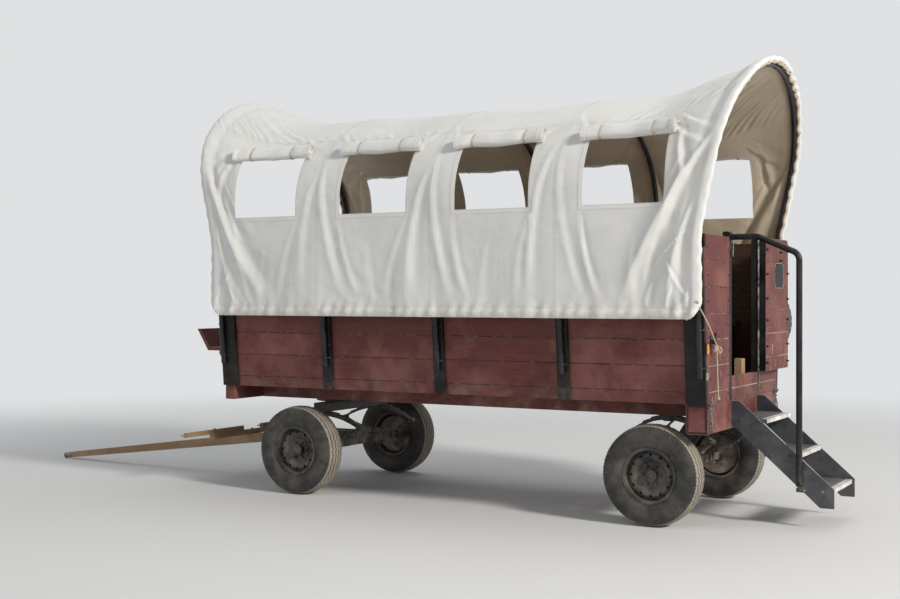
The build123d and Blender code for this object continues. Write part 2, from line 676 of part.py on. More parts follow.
def pole():
    """Wooden pole that tapers from a square root to a round tip."""
    taper_end = POLE_LENGTH - POLE_FERRULE_LENGTH
    square_end = EVENER_REACH + EVENER_WIDTH
    square = block((-POLE_HEEL, square_end), (-POLE_ROOT_WIDTH / 2, POLE_ROOT_WIDTH / 2),
                   (-POLE_ROOT_HEIGHT / 2, POLE_ROOT_HEIGHT / 2))
    side = POLE_TIP_RADIUS * 2
    ends = [Plane(origin=(x, 0, 0), x_dir=(0, 1, 0), z_dir=(1, 0, 0)) * Rectangle(width, height)
            for x, width, height in ((square_end, POLE_ROOT_WIDTH, POLE_ROOT_HEIGHT), (taper_end, side, side))]
    shaft = square + loft(ends, ruled=True)
    shaft -= rod((0, -POLE_ROOT_WIDTH, 0), (0, POLE_ROOT_WIDTH, 0), POLE_PIN_RADIUS + RUNNING_FIT)
    shaft -= rod((EVENER_REACH, 0, 0), (EVENER_REACH, 0, POLE_ROOT_HEIGHT), TREE_PIN_RADIUS + RUNNING_FIT)
    return on_pole(shaft)


def pole_ferrule():
    start = POLE_LENGTH - POLE_FERRULE_LENGTH
    return on_pole(rod((start, 0, 0), (POLE_LENGTH, 0, 0), POLE_TIP_RADIUS))


EVENER_BOTTOM = POLE_ROOT_HEIGHT / 2 + SLIP
SINGLETREE_BOTTOM = EVENER_BOTTOM + EVENER_HEIGHT + SLIP


def tree_bar(length, width, height):
    """A wooden bar across the pole, thinner towards its ends."""
    half, end, middle = length / 2, width * TREE_END_SHARE, length / 2 * TREE_MIDDLE_SHARE
    outline = [(-width / 2, -middle), (-end / 2, -half), (end / 2, -half), (width / 2, -middle),
               (width / 2, middle), (end / 2, half), (-end / 2, half), (-width / 2, middle)]
    return extrude(make_face(Polyline(*outline, close=True)), height, dir=(0, 0, 1))


def evener_pin():
    top = SINGLETREE_BOTTOM + TREE_PIN_HEAD
    return on_pole(rod((EVENER_REACH, 0, 0), (EVENER_REACH, 0, top), TREE_PIN_RADIUS))


def evener():
    bar = Pos(EVENER_REACH, 0, EVENER_BOTTOM) * tree_bar(EVENER_LENGTH, EVENER_WIDTH, EVENER_HEIGHT)
    bar -= rod((EVENER_REACH, 0, 0), (EVENER_REACH, 0, SINGLETREE_BOTTOM + 20), TREE_PIN_RADIUS + RUNNING_FIT)
    for y in (-SINGLETREE_Y, SINGLETREE_Y):
        top = SINGLETREE_BOTTOM + SINGLETREE_HEIGHT + TREE_PIN_HEAD
        bar += rod((EVENER_REACH, y, EVENER_BOTTOM), (EVENER_REACH, y, top), TREE_PIN_RADIUS)
    return on_pole(bar)


def singletree(y):
    bar = tree_bar(SINGLETREE_LENGTH, SINGLETREE_WIDTH, SINGLETREE_HEIGHT)
    bar = Pos(EVENER_REACH, y, SINGLETREE_BOTTOM) * bar
    bar -= rod((EVENER_REACH, y, 0), (EVENER_REACH, y, SINGLETREE_BOTTOM + SINGLETREE_HEIGHT + 20),
               TREE_PIN_RADIUS + RUNNING_FIT)
    for end in (-1, 1):
        eye_y = y + end * (SINGLETREE_LENGTH / 2 - TRACE_EYE_BAR)
        centre = Pos(EVENER_REACH + TRACE_EYE_REACH, eye_y, SINGLETREE_BOTTOM + SINGLETREE_HEIGHT / 2)
        bar += centre * Torus(TRACE_EYE_RADIUS, TRACE_EYE_BAR)
    return on_pole(bar)


def crown_radius(width, eave, flat, slope):
    """Radius of the crown that leaves a flat strip between it and the eave."""
    lean = radians(slope)
    return (width / cos(lean) - eave * tan(radians(90 - slope) / 2) - flat) / tan(lean)


def arch(width, hem, ridge, eave, crown, slope):
    """Points and radii of a bow's line: upright sides, eaves and a rounded crown."""
    apex = ridge + crown * (1 / cos(radians(slope)) - 1)
    corner = apex - width * tan(radians(slope))
    points = [(width, hem), (width, corner), (0, apex), (-width, corner), (-width, hem)]
    return points, [eave, crown, eave]


def arch_face(x, inset, ridge):
    """The filled outline of the canvas at one place along the wagon."""
    hem = CANVAS_HEM_Z - (1 if inset else 0)
    points, radii = arch(CANVAS_HALF_WIDTH - inset, hem, ridge - inset, EAVE_RADIUS - inset,
                         CROWN_RADIUS - inset, CROWN_SLOPE)
    line = FilletPolyline(*[(x, y, z) for y, z in points], radius=radii)
    return make_face([line, Line(line @ 1, line @ 0)])


BOW_OFFSET = TRIM + BOW_RADIUS + SLIP
BOW_HALF_WIDTH = wall_y(BOW_BEND_Z, BOW_OFFSET)
CANVAS_HALF_WIDTH = BOW_HALF_WIDTH + BOW_RADIUS + SLIP + CANVAS
CROWN_RADIUS = crown_radius(CANVAS_HALF_WIDTH, EAVE_RADIUS, ROOF_FLAT, CROWN_SLOPE)
END_CROWN_RADIUS = crown_radius(BOW_HALF_WIDTH, END_EAVE_RADIUS, END_ROOF_FLAT, END_CROWN_SLOPE)


def canvas():
    """One arched shell, level along the middle and rising to both flared ends, with its side windows cut."""
    stations = [(x, CANVAS_RIDGE_Z + rise) for x, rise in CANVAS_RISE]
    stations += [(BOX_LENGTH - x, ridge) for x, ridge in reversed(stations)]
    outer = loft([arch_face(x, 0, ridge) for x, ridge in stations], ruled=True)
    inner = loft([arch_face(x, CANVAS, ridge) for x, ridge in stations], ruled=True)
    shell = outer - inner
    top = CANVAS_END_RIDGE_Z + 50
    lean = (top - CANVAS_LEAN_Z) * tan(radians(CANVAS_LEAN))
    rear, front = -CANVAS_END_X, BOX_LENGTH + CANVAS_END_X
    cut = CANVAS_CORNER_CUT
    shell &= side_plate((-BOX_TOP_WIDTH, BOX_TOP_WIDTH), [
        (rear + cut, CANVAS_HEM_Z - 5), (front - cut, CANVAS_HEM_Z - 5), (front, CANVAS_HEM_Z + cut),
        (front, CANVAS_LEAN_Z), (front + lean, top), (rear - lean, top), (rear, CANVAS_LEAN_Z),
        (rear, CANVAS_HEM_Z + cut)])
    for low, high in zip(BOW_STATIONS, BOW_STATIONS[1:]):
        middle = (low + high) / 2
        window = block((middle - WINDOW_WIDTH / 2, middle + WINDOW_WIDTH / 2),
                       (CANVAS_HALF_WIDTH - WINDOW_DEPTH, CANVAS_HALF_WIDTH + CANVAS),
                       (WINDOW_BOTTOM_Z, WINDOW_TOP_Z))
        for opening in both_sides(window):
            shell -= opening
    return shell


def pipe(path, radius):
    return sweep(Plane(origin=path @ 0, z_dir=path % 0) * Circle(radius), path=path)


def bow(x, lean, ridge, eave, crown, slope):
    """A pipe clamped outside a post on each side, bent over the load and leaning forward or back."""
    rise = (ridge - BOW_BEND_Z) / cos(radians(lean))
    points, radii = arch(BOW_HALF_WIDTH, 0, rise, eave, crown, slope)
    bent = [(x + s * sin(radians(lean)), y, BOW_BEND_Z + s * cos(radians(lean))) for y, s in points]
    foot = [(x, side * wall_y(BOW_FOOT_Z, BOW_OFFSET), BOW_FOOT_Z) for side in (1, -1)]
    path = FilletPolyline(foot[0], *bent, foot[1], radius=[BOW_BEND_RADIUS] + radii + [BOW_BEND_RADIUS])
    return pipe(path, BOW_RADIUS)


def bows():
    middle = [bow(x, 0, CANVAS_RIDGE_Z - CANVAS - SLIP - BOW_RADIUS, EAVE_RADIUS - CANVAS - SLIP - BOW_RADIUS,
                  CROWN_RADIUS - CANVAS - SLIP - BOW_RADIUS, CROWN_SLOPE) for x in BOW_STATIONS[1:-1]]
    ends = [bow(x, lean, END_BOW_RIDGE_Z, END_EAVE_RADIUS, END_CROWN_RADIUS, END_CROWN_SLOPE)
            for x, lean in ((BOW_STATIONS[0], -CANVAS_LEAN), (BOW_STATIONS[-1], CANVAS_LEAN))]
    return ends[:1] + middle + ends[1:]


def bench():
    """Passenger bench along the left wall on upright board legs."""
    x = (BENCH_REAR_X, BOX_LENGTH - BENCH_FRONT_GAP)
    z = (BENCH_SEAT_Z - BENCH_BOARD, BENCH_SEAT_Z)
    front = wall_y(BENCH_SEAT_Z, -BOARD) - BENCH_DEPTH
    seat = slab(x, [(front, z[0]), (wall_y(z[0], -BOARD), z[0]), (wall_y(z[1], -BOARD), z[1]), (front, z[1])])
    step = (x[1] - x[0] - 2 * BENCH_LEG_INSET) / (BENCH_LEG_COUNT - 1)
    for i in range(BENCH_LEG_COUNT):
        place = x[0] + BENCH_LEG_INSET + i * step
        seat += slab((place - BENCH_BOARD / 2, place + BENCH_BOARD / 2),
                     [(front + 60, FLOOR_Z), (wall_y(FLOOR_Z, -BOARD), FLOOR_Z), (wall_y(z[0], -BOARD), z[0]),
                      (front + 30, z[0])])
    return seat


def driver_seat():
    rear = BOX_LENGTH - DRIVER_SEAT_DEPTH - BOARD
    seat = across((rear, BOX_LENGTH - 2), (FRONT_WALL_TOP_Z, FRONT_WALL_TOP_Z + BOARD))
    back = across((rear - DRIVER_BACK_THICKNESS, rear), DRIVER_BACK_Z)
    return [seat, back]


def footboard():
    low = FOOTBOARD_Z - FOOTBOARD_BOARD
    front = BOX_LENGTH + FOOTBOARD_DEPTH
    half = FOOTBOARD_HALF_WIDTH
    toe = front + TOE_BOARD_RUN
    board = side_plate((-half, half), [
        (BOX_LENGTH, low), (front, low), (toe, low + TOE_BOARD_RISE),
        (toe - FOOTBOARD_BOARD, low + TOE_BOARD_RISE), (front - FOOTBOARD_BOARD / 2, FOOTBOARD_Z),
        (BOX_LENGTH, FOOTBOARD_Z)])
    tip = front - FOOT_BRACKET_TIP
    drop = low - FOOT_BRACKET_DROP
    for y in (-FOOT_BRACKET_Y, FOOT_BRACKET_Y):
        board += side_plate((y - FOOT_BRACKET / 2, y + FOOT_BRACKET / 2), [
            (BOX_LENGTH, low), (tip, low), (tip, low - FOOT_BRACKET_TIP), (BOX_LENGTH + FOOT_BRACKET_TIP, drop),
            (BOX_LENGTH, drop)])
    return board


def steps():
    """Three open treads between two steel stringers hung on the rear beam."""
    low = LOW_TREAD_Z
    toe = -(STEP_COUNT - 1) * STEP_GOING - TREAD_DEPTH - STRINGER_TOE
    head = WALL_BOTTOM_Z - STRINGER
    outline = [(0, head), (-STRINGER_HEAD, head), (toe, low + STRINGER), (toe, low - STRINGER_DEPTH),
               (toe + STRINGER_FOOT, low - STRINGER_DEPTH), (0, REAR_BEAM_BOTTOM_Z + STRINGER_HEEL)]
    stair = None
    for y in (-STEP_HALF_WIDTH - STRINGER, STEP_HALF_WIDTH):
        stringer = side_plate((y, y + STRINGER), outline)
        stair = stringer if stair is None else stair + stringer
    for i in range(STEP_COUNT):
        front = -(STEP_COUNT - 1 - i) * STEP_GOING - TREAD_REACH
        top = low + i * STEP_RISE
        stair += block((front - TREAD_DEPTH, front), (-STEP_HALF_WIDTH, STEP_HALF_WIDTH),
                       (top - TREAD_THICKNESS, top))
    return stair


def handrail():
    """Pipe from the near jamb, out over the steps and down to the left stringer."""
    points = [(-RAIL_PLATE_THICKNESS, RAIL_Y, RAIL_TOP_Z), (-RAIL_SLOPE_START, RAIL_Y, RAIL_TOP_Z),
              (-RAIL_LEG_X, RAIL_Y, RAIL_LEG_TOP_Z), (-RAIL_LEG_X, RAIL_Y, RAIL_FOOT_Z)]
    rail = pipe(FilletPolyline(*points, radius=RAIL_BEND_RADIUS), RAIL_RADIUS)
    half = RAIL_PLATE / 2
    z = (RAIL_TOP_Z - half, RAIL_TOP_Z + half)
    rail += block((-RAIL_PLATE_THICKNESS, 0), (RAIL_Y - half, RAIL_Y + half), z)
    lug = Box(RAIL_LUG_WIDTH, RAIL_STANDOFF, RAIL_LUG_HEIGHT)
    for rise in RAIL_LUG_RISES:
        rail += Pos(-RAIL_LEG_X, RAIL_Y - RAIL_STANDOFF / 2, RAIL_FOOT_Z + rise) * lug
    return rail


SPARE_Y = -(CANVAS_HALF_WIDTH + SPARE_CANVAS_GAP + TYRE_WIDTH / 2)
SPARE_SEAT_Y = SPARE_Y - DISC_Y


def on_carrier(piece):
    """Carry a wheel piece, outboard towards +Y, to the spare's place on the right."""
    return Pos(SPARE_X, SPARE_Y, SPARE_Z) * mirror(piece, about=Plane.XZ)


def hanger():
    """Flat hook, drawn on the left, from the carrier's base up the outside and over the top rail."""
    x = (HANGER_X - HANGER_WIDTH / 2, HANGER_X + HANGER_WIDTH / 2)
    top = WALL_TOP_Z + HANGER
    foot = SPARE_Z + CARRIER_RADIUS
    hook = side_board(x, (SPARE_Z, top), TRIM, TRIM + HANGER)
    hook += side_board(x, (SPARE_Z, foot), 0, TRIM + HANGER)
    hook += side_board(x, (WALL_TOP_Z, top), -BOARD - HANGER, TRIM + HANGER)
    return hook + side_board(x, (WALL_TOP_Z - HANGER_TAIL, top), -BOARD - HANGER, -BOARD)


def spare_carrier():
    """Arm under the canvas hem with a base on the wall, a hook over the rail and a studded flange."""
    half = CARRIER_BASE / 2
    z = (SPARE_Z - half, SPARE_Z + CARRIER_RADIUS)
    base = side_board((SPARE_X - half, SPARE_X + half), z, 0, CARRIER_PLATE)
    start = (SPARE_X, -wall_y(SPARE_Z, CARRIER_PLATE / 2), SPARE_Z)
    seat = (SPARE_X, SPARE_SEAT_Y, SPARE_Z)
    arm = other_side(base + hanger()) + rod(start, seat, CARRIER_RADIUS)
    arm += rod((SPARE_X, SPARE_SEAT_Y + CARRIER_PLATE, SPARE_Z), seat, CARRIER_FLANGE_RADIUS)
    for nut in wheel_nuts(DISC_Y + DISC_THICKNESS):
        arm += on_carrier(nut)
    return arm


def cleat():
    """Iron plate on the rear wall with a stem and two upright horns."""
    half = CLEAT_HEIGHT / 2
    plate = block((-CLEAT_PLATE, 0), (CLEAT_Y - CLEAT_PLATE_WIDTH / 2, CLEAT_Y + CLEAT_PLATE_WIDTH / 2),
                  (CLEAT_Z - CLEAT_PLATE_HEIGHT / 2, CLEAT_Z + CLEAT_PLATE_HEIGHT / 2))
    stem = rod((0, CLEAT_Y, CLEAT_Z), (-CLEAT_STEM, CLEAT_Y, CLEAT_Z), CLEAT_STEM_RADIUS)
    low, high = (-CLEAT_STEM, CLEAT_Y, CLEAT_Z - half), (-CLEAT_STEM, CLEAT_Y, CLEAT_Z + half)
    return plate + stem + rod(low, high, CLEAT_HORN_RADIUS)


# A rope tail below the left cleat: x and z of each point of its route, top first
TAIL_ROUTE = [(-44, 1258), (-44, 1214), (-49, 1150), (-48, 1080), (-53, 1010), (-55, 950)]


def rope_tail():
    """Free end of the tie, hanging down the rear wall in one gentle line."""
    points = [(x, CLEAT_Y, z) for x, z in TAIL_ROUTE]
    radii = []
    for before, at, after in zip(points, points[1:], points[2:]):
        one, two = Vector(*at) - Vector(*before), Vector(*after) - Vector(*at)
        radii.append(0.45 * min(one.length, two.length) / tan(radians(one.get_angle(two) / 2)))
    return pipe(FilletPolyline(*points, radius=radii), ROPE / 2)


def rope_end_knot():
    x, z = TAIL_ROUTE[-1]
    return Pos(x, CLEAT_Y, z - END_KNOT_RADIUS) * Sphere(END_KNOT_RADIUS)


def rope_hitch():
    """Turns of the tie round the lower horn."""
    bottom = TAIL_ROUTE[0][1]
    top = CLEAT_Z - CLEAT_STEM_RADIUS
    low, high = (-CLEAT_STEM, CLEAT_Y, bottom), (-CLEAT_STEM, CLEAT_Y, top)
    return rod(low, high, HITCH_RADIUS) - rod(low, high, CLEAT_HORN_RADIUS + SLIP)


NODES = {}
NODES["floor_deck"] = [floor_deck()]
NODES["floor_bearers"] = bearers()
NODES["sills"] = both_sides(sill())
NODES["rear_beam"], NODES["front_beam"] = [[beam] for beam in end_beams()]
NODES["side_wall_left"] = [side_wall()]
NODES["side_wall_right"] = [other_side(side_wall())]
NODES["side_posts_left"] = side_posts()
NODES["side_posts_right"] = [other_side(post) for post in side_posts()]
NODES["top_rails"] = [top_rail(TOP_RAIL_OVERHANG), other_side(top_rail(TOP_RAIL_DOOR_OVERHANG))]
NODES["rear_wall_left"] = [rear_wall(DOORWAY_Y + NEAR_JAMB_WIDTH, 1)]
NODES["rear_wall_right"] = [rear_wall(HINGE_Y - FAR_JAMB_WIDTH, -1)]
NODES["jamb_posts"] = jamb_posts()
NODES["threshold"] = [threshold()]
NODES["front_wall"] = [front_wall()]
fixed_leaf, moving_leaf = hinge_leaves()
NODES["door_hinge_fixed"] = [fixed_leaf, door_keeper()]
NODES["rear_door"] = [opened(door())]
NODES["door_edging"] = [opened(door_edging()), opened(door_latch())]
NODES["door_hinge_moving"] = [opened(moving_leaf)]
NODES["canvas_cover"] = [canvas()]
NODES["bows"] = bows()
NODES["bench_left"] = [bench()]
NODES["bench_right"] = [other_side(bench())]
NODES["driver_seat"] = driver_seat()
NODES["footboard"] = [footboard()]
NODES["steps"] = [steps()]
NODES["handrail"] = [handrail()]
NODES["spare_carrier"] = [spare_carrier()]
spare_disc = wheel_disc()
for stud_x, stud_z in stud_places():
    spare_disc -= rod((stud_x, 0, stud_z), (stud_x, RIM_HALF_WIDTH, stud_z), STUD_RADIUS)
NODES["spare_wheel"] = [on_carrier(spare_disc)]
NODES["spare_tyre"] = [on_carrier(tyre())]
NODES["rope_cleat"] = [cleat()]
NODES["rope_hitch"] = [rope_hitch()]
NODES["rope_tail"] = [rope_tail()]
NODES["rope_end_knot"] = [rope_end_knot()]
NODES["rear_axle"] = [axle(REAR_AXLE_X)]
NODES["rear_springs"] = both_sides(
    elliptic_spring(REAR_AXLE_X, SILL_Y, AXLE_TOP_Z, SILL_BOTTOM_Z, REAR_SPRING_HALF_LENGTH))
NODES["upper_turntable"] = [upper_turntable()]
NODES["lower_turntable"] = [lower_turntable()]
NODES["front_axle"] = [axle(FRONT_AXLE_X)]
NODES["front_springs"] = both_sides(
    elliptic_spring(FRONT_AXLE_X, SILL_Y, AXLE_TOP_Z, LOWER_BOLSTER_Z, FRONT_SPRING_HALF_LENGTH))
NODES["hounds"] = [hounds()]
NODES["pole"] = [pole()]
NODES["pole_ferrule"] = [pole_ferrule()]
NODES["evener_pin"] = [evener_pin()]
NODES["evener"] = [evener()]
NODES["singletree_left"] = [singletree(SINGLETREE_Y)]
NODES["singletree_right"] = [singletree(-SINGLETREE_Y)]

# Wheels: name and place of each axle
for end, axle_x in (("rear", REAR_AXLE_X), ("front", FRONT_AXLE_X)):
    place = Pos(axle_x, WHEEL_Y, AXLE_Z)
    for piece, shape in (("wheel", place * road_wheel()), ("tyre", place * tyre())):
        NODES[f"{piece}_{end}_left"] = [shape]
        NODES[f"{piece}_{end}_right"] = [other_side(shape)]

# The finished wagon stands on z = 0 with the middle of its box at the origin
solids = {name: [solid for piece in pieces for solid in piece.solids()] for name, pieces in NODES.items()}
whole = Compound([solid for group in solids.values() for solid in group]).bounding_box()
shift = Pos(-whole.center().X, -whole.center().Y, -whole.min.Z)
print("shift", shift.position, "size", whole.size)

os.makedirs("parts", exist_ok=True)
for name, group in solids.items():
    export_step(shift * Compound(group), f"parts/{name}.step")
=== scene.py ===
import math
import random
from itertools import product

import bpy
import numpy as np
from mathutils import Matrix, Vector


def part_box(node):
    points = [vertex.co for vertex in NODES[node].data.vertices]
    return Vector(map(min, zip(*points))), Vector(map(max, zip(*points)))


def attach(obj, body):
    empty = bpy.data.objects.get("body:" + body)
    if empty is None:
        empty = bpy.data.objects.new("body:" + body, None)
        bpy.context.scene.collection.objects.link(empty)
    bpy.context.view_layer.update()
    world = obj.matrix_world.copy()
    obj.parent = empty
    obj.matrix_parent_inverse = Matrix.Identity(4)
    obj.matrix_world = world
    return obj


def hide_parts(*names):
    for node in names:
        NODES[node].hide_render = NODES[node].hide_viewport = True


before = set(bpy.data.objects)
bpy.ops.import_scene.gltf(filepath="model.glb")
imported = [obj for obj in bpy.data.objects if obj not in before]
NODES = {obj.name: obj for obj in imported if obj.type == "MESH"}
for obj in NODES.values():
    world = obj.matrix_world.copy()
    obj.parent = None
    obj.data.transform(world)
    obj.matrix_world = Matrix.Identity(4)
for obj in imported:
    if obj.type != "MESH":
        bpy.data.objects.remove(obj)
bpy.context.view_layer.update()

# Places are in metres from the rear face of the box, the wagon's centre plane and the ground
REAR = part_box("rear_beam")[0].x
MIDDLE = (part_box("rear_beam")[0].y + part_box("rear_beam")[1].y) / 2
BOX_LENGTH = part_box("front_beam")[1].x - REAR
WALL_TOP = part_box("side_wall_left")[1].z
WALL_TOP_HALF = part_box("side_wall_left")[1].y - MIDDLE
PLANK, BOARD, TRIM = 0.184, 0.038, 0.030
FLARE = math.radians(5)
BOW_INSET = 0.035
BAYS = 4
STATIONS = [BOW_INSET + i * (BOX_LENGTH - 2 * BOW_INSET) / BAYS for i in range(BAYS + 1)]
WINDOWS = [(low + high) / 2 for low, high in zip(STATIONS, STATIONS[1:])]
SIDES = {1: "left", -1: "right"}
SQUARE = ((-1, -1), (-1, 1), (1, -1), (1, 1))
BACK = (-1, 0, 0)
TURN = 2 * math.pi


def at(x, y, z):
    """A place on the wagon in the shared frame."""
    return Vector((REAR + x, MIDDLE + y, z))


def wall_half(z, out=0.0):
    """Distance from the centre plane to a side wall's outer face at a height."""
    return WALL_TOP_HALF - (WALL_TOP - z) * math.tan(FLARE) + out / math.cos(FLARE)


# Surfaces
OXBLOOD, OXBLOOD_FADED, BARE = (0.150, 0.044, 0.039), (0.245, 0.100, 0.086), (0.54, 0.41, 0.36)
BLACK, BLACK_FADED, BROWN = (0.012, 0.011, 0.011), (0.028, 0.025, 0.024), (0.16, 0.09, 0.06)
# colour of the box's inside faces: partly the wood's own brown, partly painted shade inside the box
INNER_WOOD_AND_SHADE = (0.085, 0.045, 0.030)
DUST, SPLASHED, ROAD_DIRT = (0.42, 0.36, 0.29), (0.36, 0.29, 0.22), (0.38, 0.31, 0.24)
RUST, SCRATCH, HEM_DIRT = (0.22, 0.09, 0.04), (0.30, 0.30, 0.31), (0.50, 0.43, 0.34)
HEMP, HEMP_DARK = (0.66, 0.55, 0.42), (0.40, 0.31, 0.22)
CLOTH_GLOW, CLOTH_GLOW_REACH = 0.25, (1.0, 0.85, 0.62)
GRAIN_SCALE = {"X": (1.6, 26.0, 26.0), "Y": (26.0, 1.6, 26.0), "Z": (26.0, 26.0, 1.6)}
BOARDS_A_METRE = 7.3
THREADS_A_METRE = 130.0


def toned(colour, factor, lift=0.0):
    return tuple(v * factor + lift for v in colour)


class Surface:
    """A material built node by node round one Principled shader."""

    def __init__(self, name, **settings):
        self.material = bpy.data.materials.new(name)
        self.material.use_nodes = True
        self.tree = self.material.node_tree
        self.shader = self.tree.nodes["Principled BSDF"]
        for socket, value in settings.items():
            self.shader.inputs[socket.replace("_", " ")].default_value = value

    def node(self, kind, values=(), **settings):
        made = self.tree.nodes.new("ShaderNode" + kind)
        for key, value in settings.items():
            setattr(made, key, value)
        for socket, value in dict(values).items():
            if isinstance(value, bpy.types.NodeSocket):
                self.tree.links.new(value, made.inputs[socket])
            else:
                made.inputs[socket].default_value = value
        return made

    def place(self, kind="Object"):
        return self.node("TexCoord").outputs[kind]

    def part(self, place, axis):
        return self.node("SeparateXYZ", {0: place}).outputs[axis]

    def facing(self, axis):
        """One part of the direction that a face looks in."""
        return self.part(self.node("NewGeometry").outputs["Normal"], axis)

    def math(self, operation, one, two=0.0):
        return self.node("Math", {0: one, 1: two}, operation=operation).outputs[0]

    def plus(self, one, two):
        return self.math("ADD", one, two)

    def minus(self, one, two):
        return self.math("SUBTRACT", one, two)

    def times(self, first, *others):
        for other in others:
            first = self.math("MULTIPLY", first, other)
        return first

    def stretch(self, place, scale, move=None):
        values = {"Vector": place, "Scale": scale}
        if move is not None:
            values["Location"] = move
        return self.node("Mapping", values).outputs[0]

    def noise(self, place, scale, detail=3.0, rough=0.55, twist=0.0):
        values = {"Vector": place, "Scale": scale, "Detail": detail, "Roughness": rough, "Distortion": twist}
        return self.node("TexNoise", values).outputs["Fac"]

    def wave(self, place, scale, twist, detail, finer=1.0, **settings):
        values = {"Vector": place, "Scale": scale, "Distortion": twist, "Detail": detail,
                  "Detail Scale": finer}
        return self.node("TexWave", values, **settings).outputs["Fac"]

    def chance(self, value):
        """A fixed random number from 0 to 1 for each whole value."""
        return self.node("TexWhiteNoise", {"W": value}, noise_dimensions="1D").outputs["Value"]

    def span(self, value, low, high, start=0.0, end=1.0):
        values = {0: value, 1: low, 2: high, 3: start, 4: end}
        return self.node("MapRange", values, interpolation_type="SMOOTHSTEP").outputs[0]

    def coat(self, under, over, *shares):
        """One colour laid over another, by shares multiplied together."""
        values = {0: self.times(*shares)}
        for socket, value in ((6, under), (7, over)):
            values[socket] = value if isinstance(value, bpy.types.NodeSocket) else (*value, 1.0)
        return self.node("Mix", values, data_type="RGBA").outputs[2]

    def edges(self, radius):
        """Rounded normals, and how near a point is to an edge."""
        soft = self.node("Bevel", {"Radius": radius}, samples=4).outputs[0]
        flat = self.node("NewGeometry").outputs["Normal"]
        turn = self.node("VectorMath", {0: soft, 1: flat}, operation="DOT_PRODUCT").outputs["Value"]
        return soft, self.span(turn, 0.999, 0.90)

    def bump(self, height, distance, strength, normal=None):
        values = {"Height": height, "Distance": distance, "Strength": strength}
        if normal is not None:
            values["Normal"] = normal
        return self.node("Bump", values).outputs[0]

    def finish(self, colour, rough, normal):
        for socket, value in (("Base Color", colour), ("Roughness", rough), ("Normal", normal)):
            if value is not None:
                self.tree.links.new(value, self.shader.inputs[socket])
        return self.material


def boards(name, grain, paint, faded, bare, wear=0.5, rough=(0.5, 0.75), seam_top=None, rubbed=0.0,
           scuffs=0.0, inside=None, sheen=0.4):
    """Planks with painted or bare faces: grain, faded patches, dark or pale seams, worn edges and scuffs."""
    s = Surface(name, Specular_IOR_Level=sheen)
    place = s.place()
    height = s.part(place, "Z")
    if seam_top is None:
        course = s.times(s.part(place, "Y" if grain == "X" else "X"), BOARDS_A_METRE)
    else:
        course = s.math("DIVIDE", s.minus(seam_top, height), PLANK)
    luck = s.chance(s.math("FLOOR", course))
    move = s.node("CombineXYZ", {0: s.times(luck, 9.0), 1: s.times(luck, 5.0)}).outputs[0]
    streaked = s.stretch(place, GRAIN_SCALE[grain], move)
    grain_lines = s.noise(streaked, 3.0, 6.0, 0.62, 0.6)
    fine_lines = s.noise(streaked, 14.0, 3.0, 0.6)
    patches = s.noise(place, 2.3, 4.0, 0.6)
    specks = s.noise(place, 60.0, 4.0, 0.7)
    soft, edge = s.edges(0.004)
    dark_grain = s.span(grain_lines, 0.35, 0.68)
    colour = s.coat(paint, toned(paint, 0.72), dark_grain)
    colour = s.coat(colour, faded, s.span(patches, 0.42, 0.68))
    colour = s.coat(colour, toned(paint, 0.6), luck, 0.35)
    if seam_top is not None:
        turn = s.math("FRACT", s.plus(course, 0.5))
        gap = s.times(s.math("ABSOLUTE", s.minus(turn, 0.5)), PLANK)
        colour = s.coat(colour, toned(paint, 0.25), s.span(gap, 0.009, 0.001), 0.6)
        low = s.span(height, seam_top - 0.45, seam_top - 0.80, 0.0, rubbed)
        broken = s.span(s.noise(place, 3.5, 4.0), 0.30, 0.55)
        colour = s.coat(colour, bare, s.span(gap, 0.0055, 0.0015), broken, low)
    if scuffs:
        upright = s.stretch(place, (18.0, 18.0, 3.2))
        marks = s.span(s.noise(upright, 2.1, 7.0, 0.72, 1.2), 0.565, 0.65)
        lower = s.span(height, seam_top - 0.25, seam_top - 1.1, 0.25, 1.0)
        colour = s.coat(colour, bare, marks, lower, scuffs)
    if inside is not None:
        # faces inside the box turn a darker brown: partly the wood's own brown, partly painted shade inside
        # the box
        within = s.span(s.times(inside(s, place), -1.0), 0.0, 0.02)
        colour = s.coat(colour, s.coat(INNER_WOOD_AND_SHADE, toned(INNER_WOOD_AND_SHADE, 0.6), dark_grain), within)
    chips = s.span(s.noise(place, 24.0, 5.0, 0.65), 0.60 - 0.2 * wear, 0.68 - 0.2 * wear)
    colour = s.coat(colour, bare, edge, chips, min(1.0, 0.35 + wear))
    colour = s.coat(colour, DUST, s.span(s.facing("Z"), 0.55, 0.95), s.span(specks, 0.35, 0.7, 0.15, 0.6))
    splashes = s.span(s.noise(place, 5.0, 5.0, 0.65), 0.45, 0.70)
    colour = s.coat(colour, SPLASHED, s.span(height, 1.15, 0.70), splashes, 0.45)
    shine = s.span(s.plus(patches, s.times(specks, 0.4)), 0.45, 0.95, *rough)
    relief = s.plus(s.times(grain_lines, 1.0), s.times(fine_lines, 0.35))
    return s.finish(colour, shine, s.bump(relief, 0.0018, 0.75, soft))


def across_walls(s, place):
    """Positive on the faces of the side walls that look away from the wagon's middle."""
    return s.times(s.facing("Y"), s.minus(s.part(place, "Y"), MIDDLE))


def across_ends(s, place):
    """Positive on the faces of the end walls that look away from the wagon's middle."""
    return s.times(s.facing("X"), s.minus(s.part(place, "X"), REAR + BOX_LENGTH / 2))


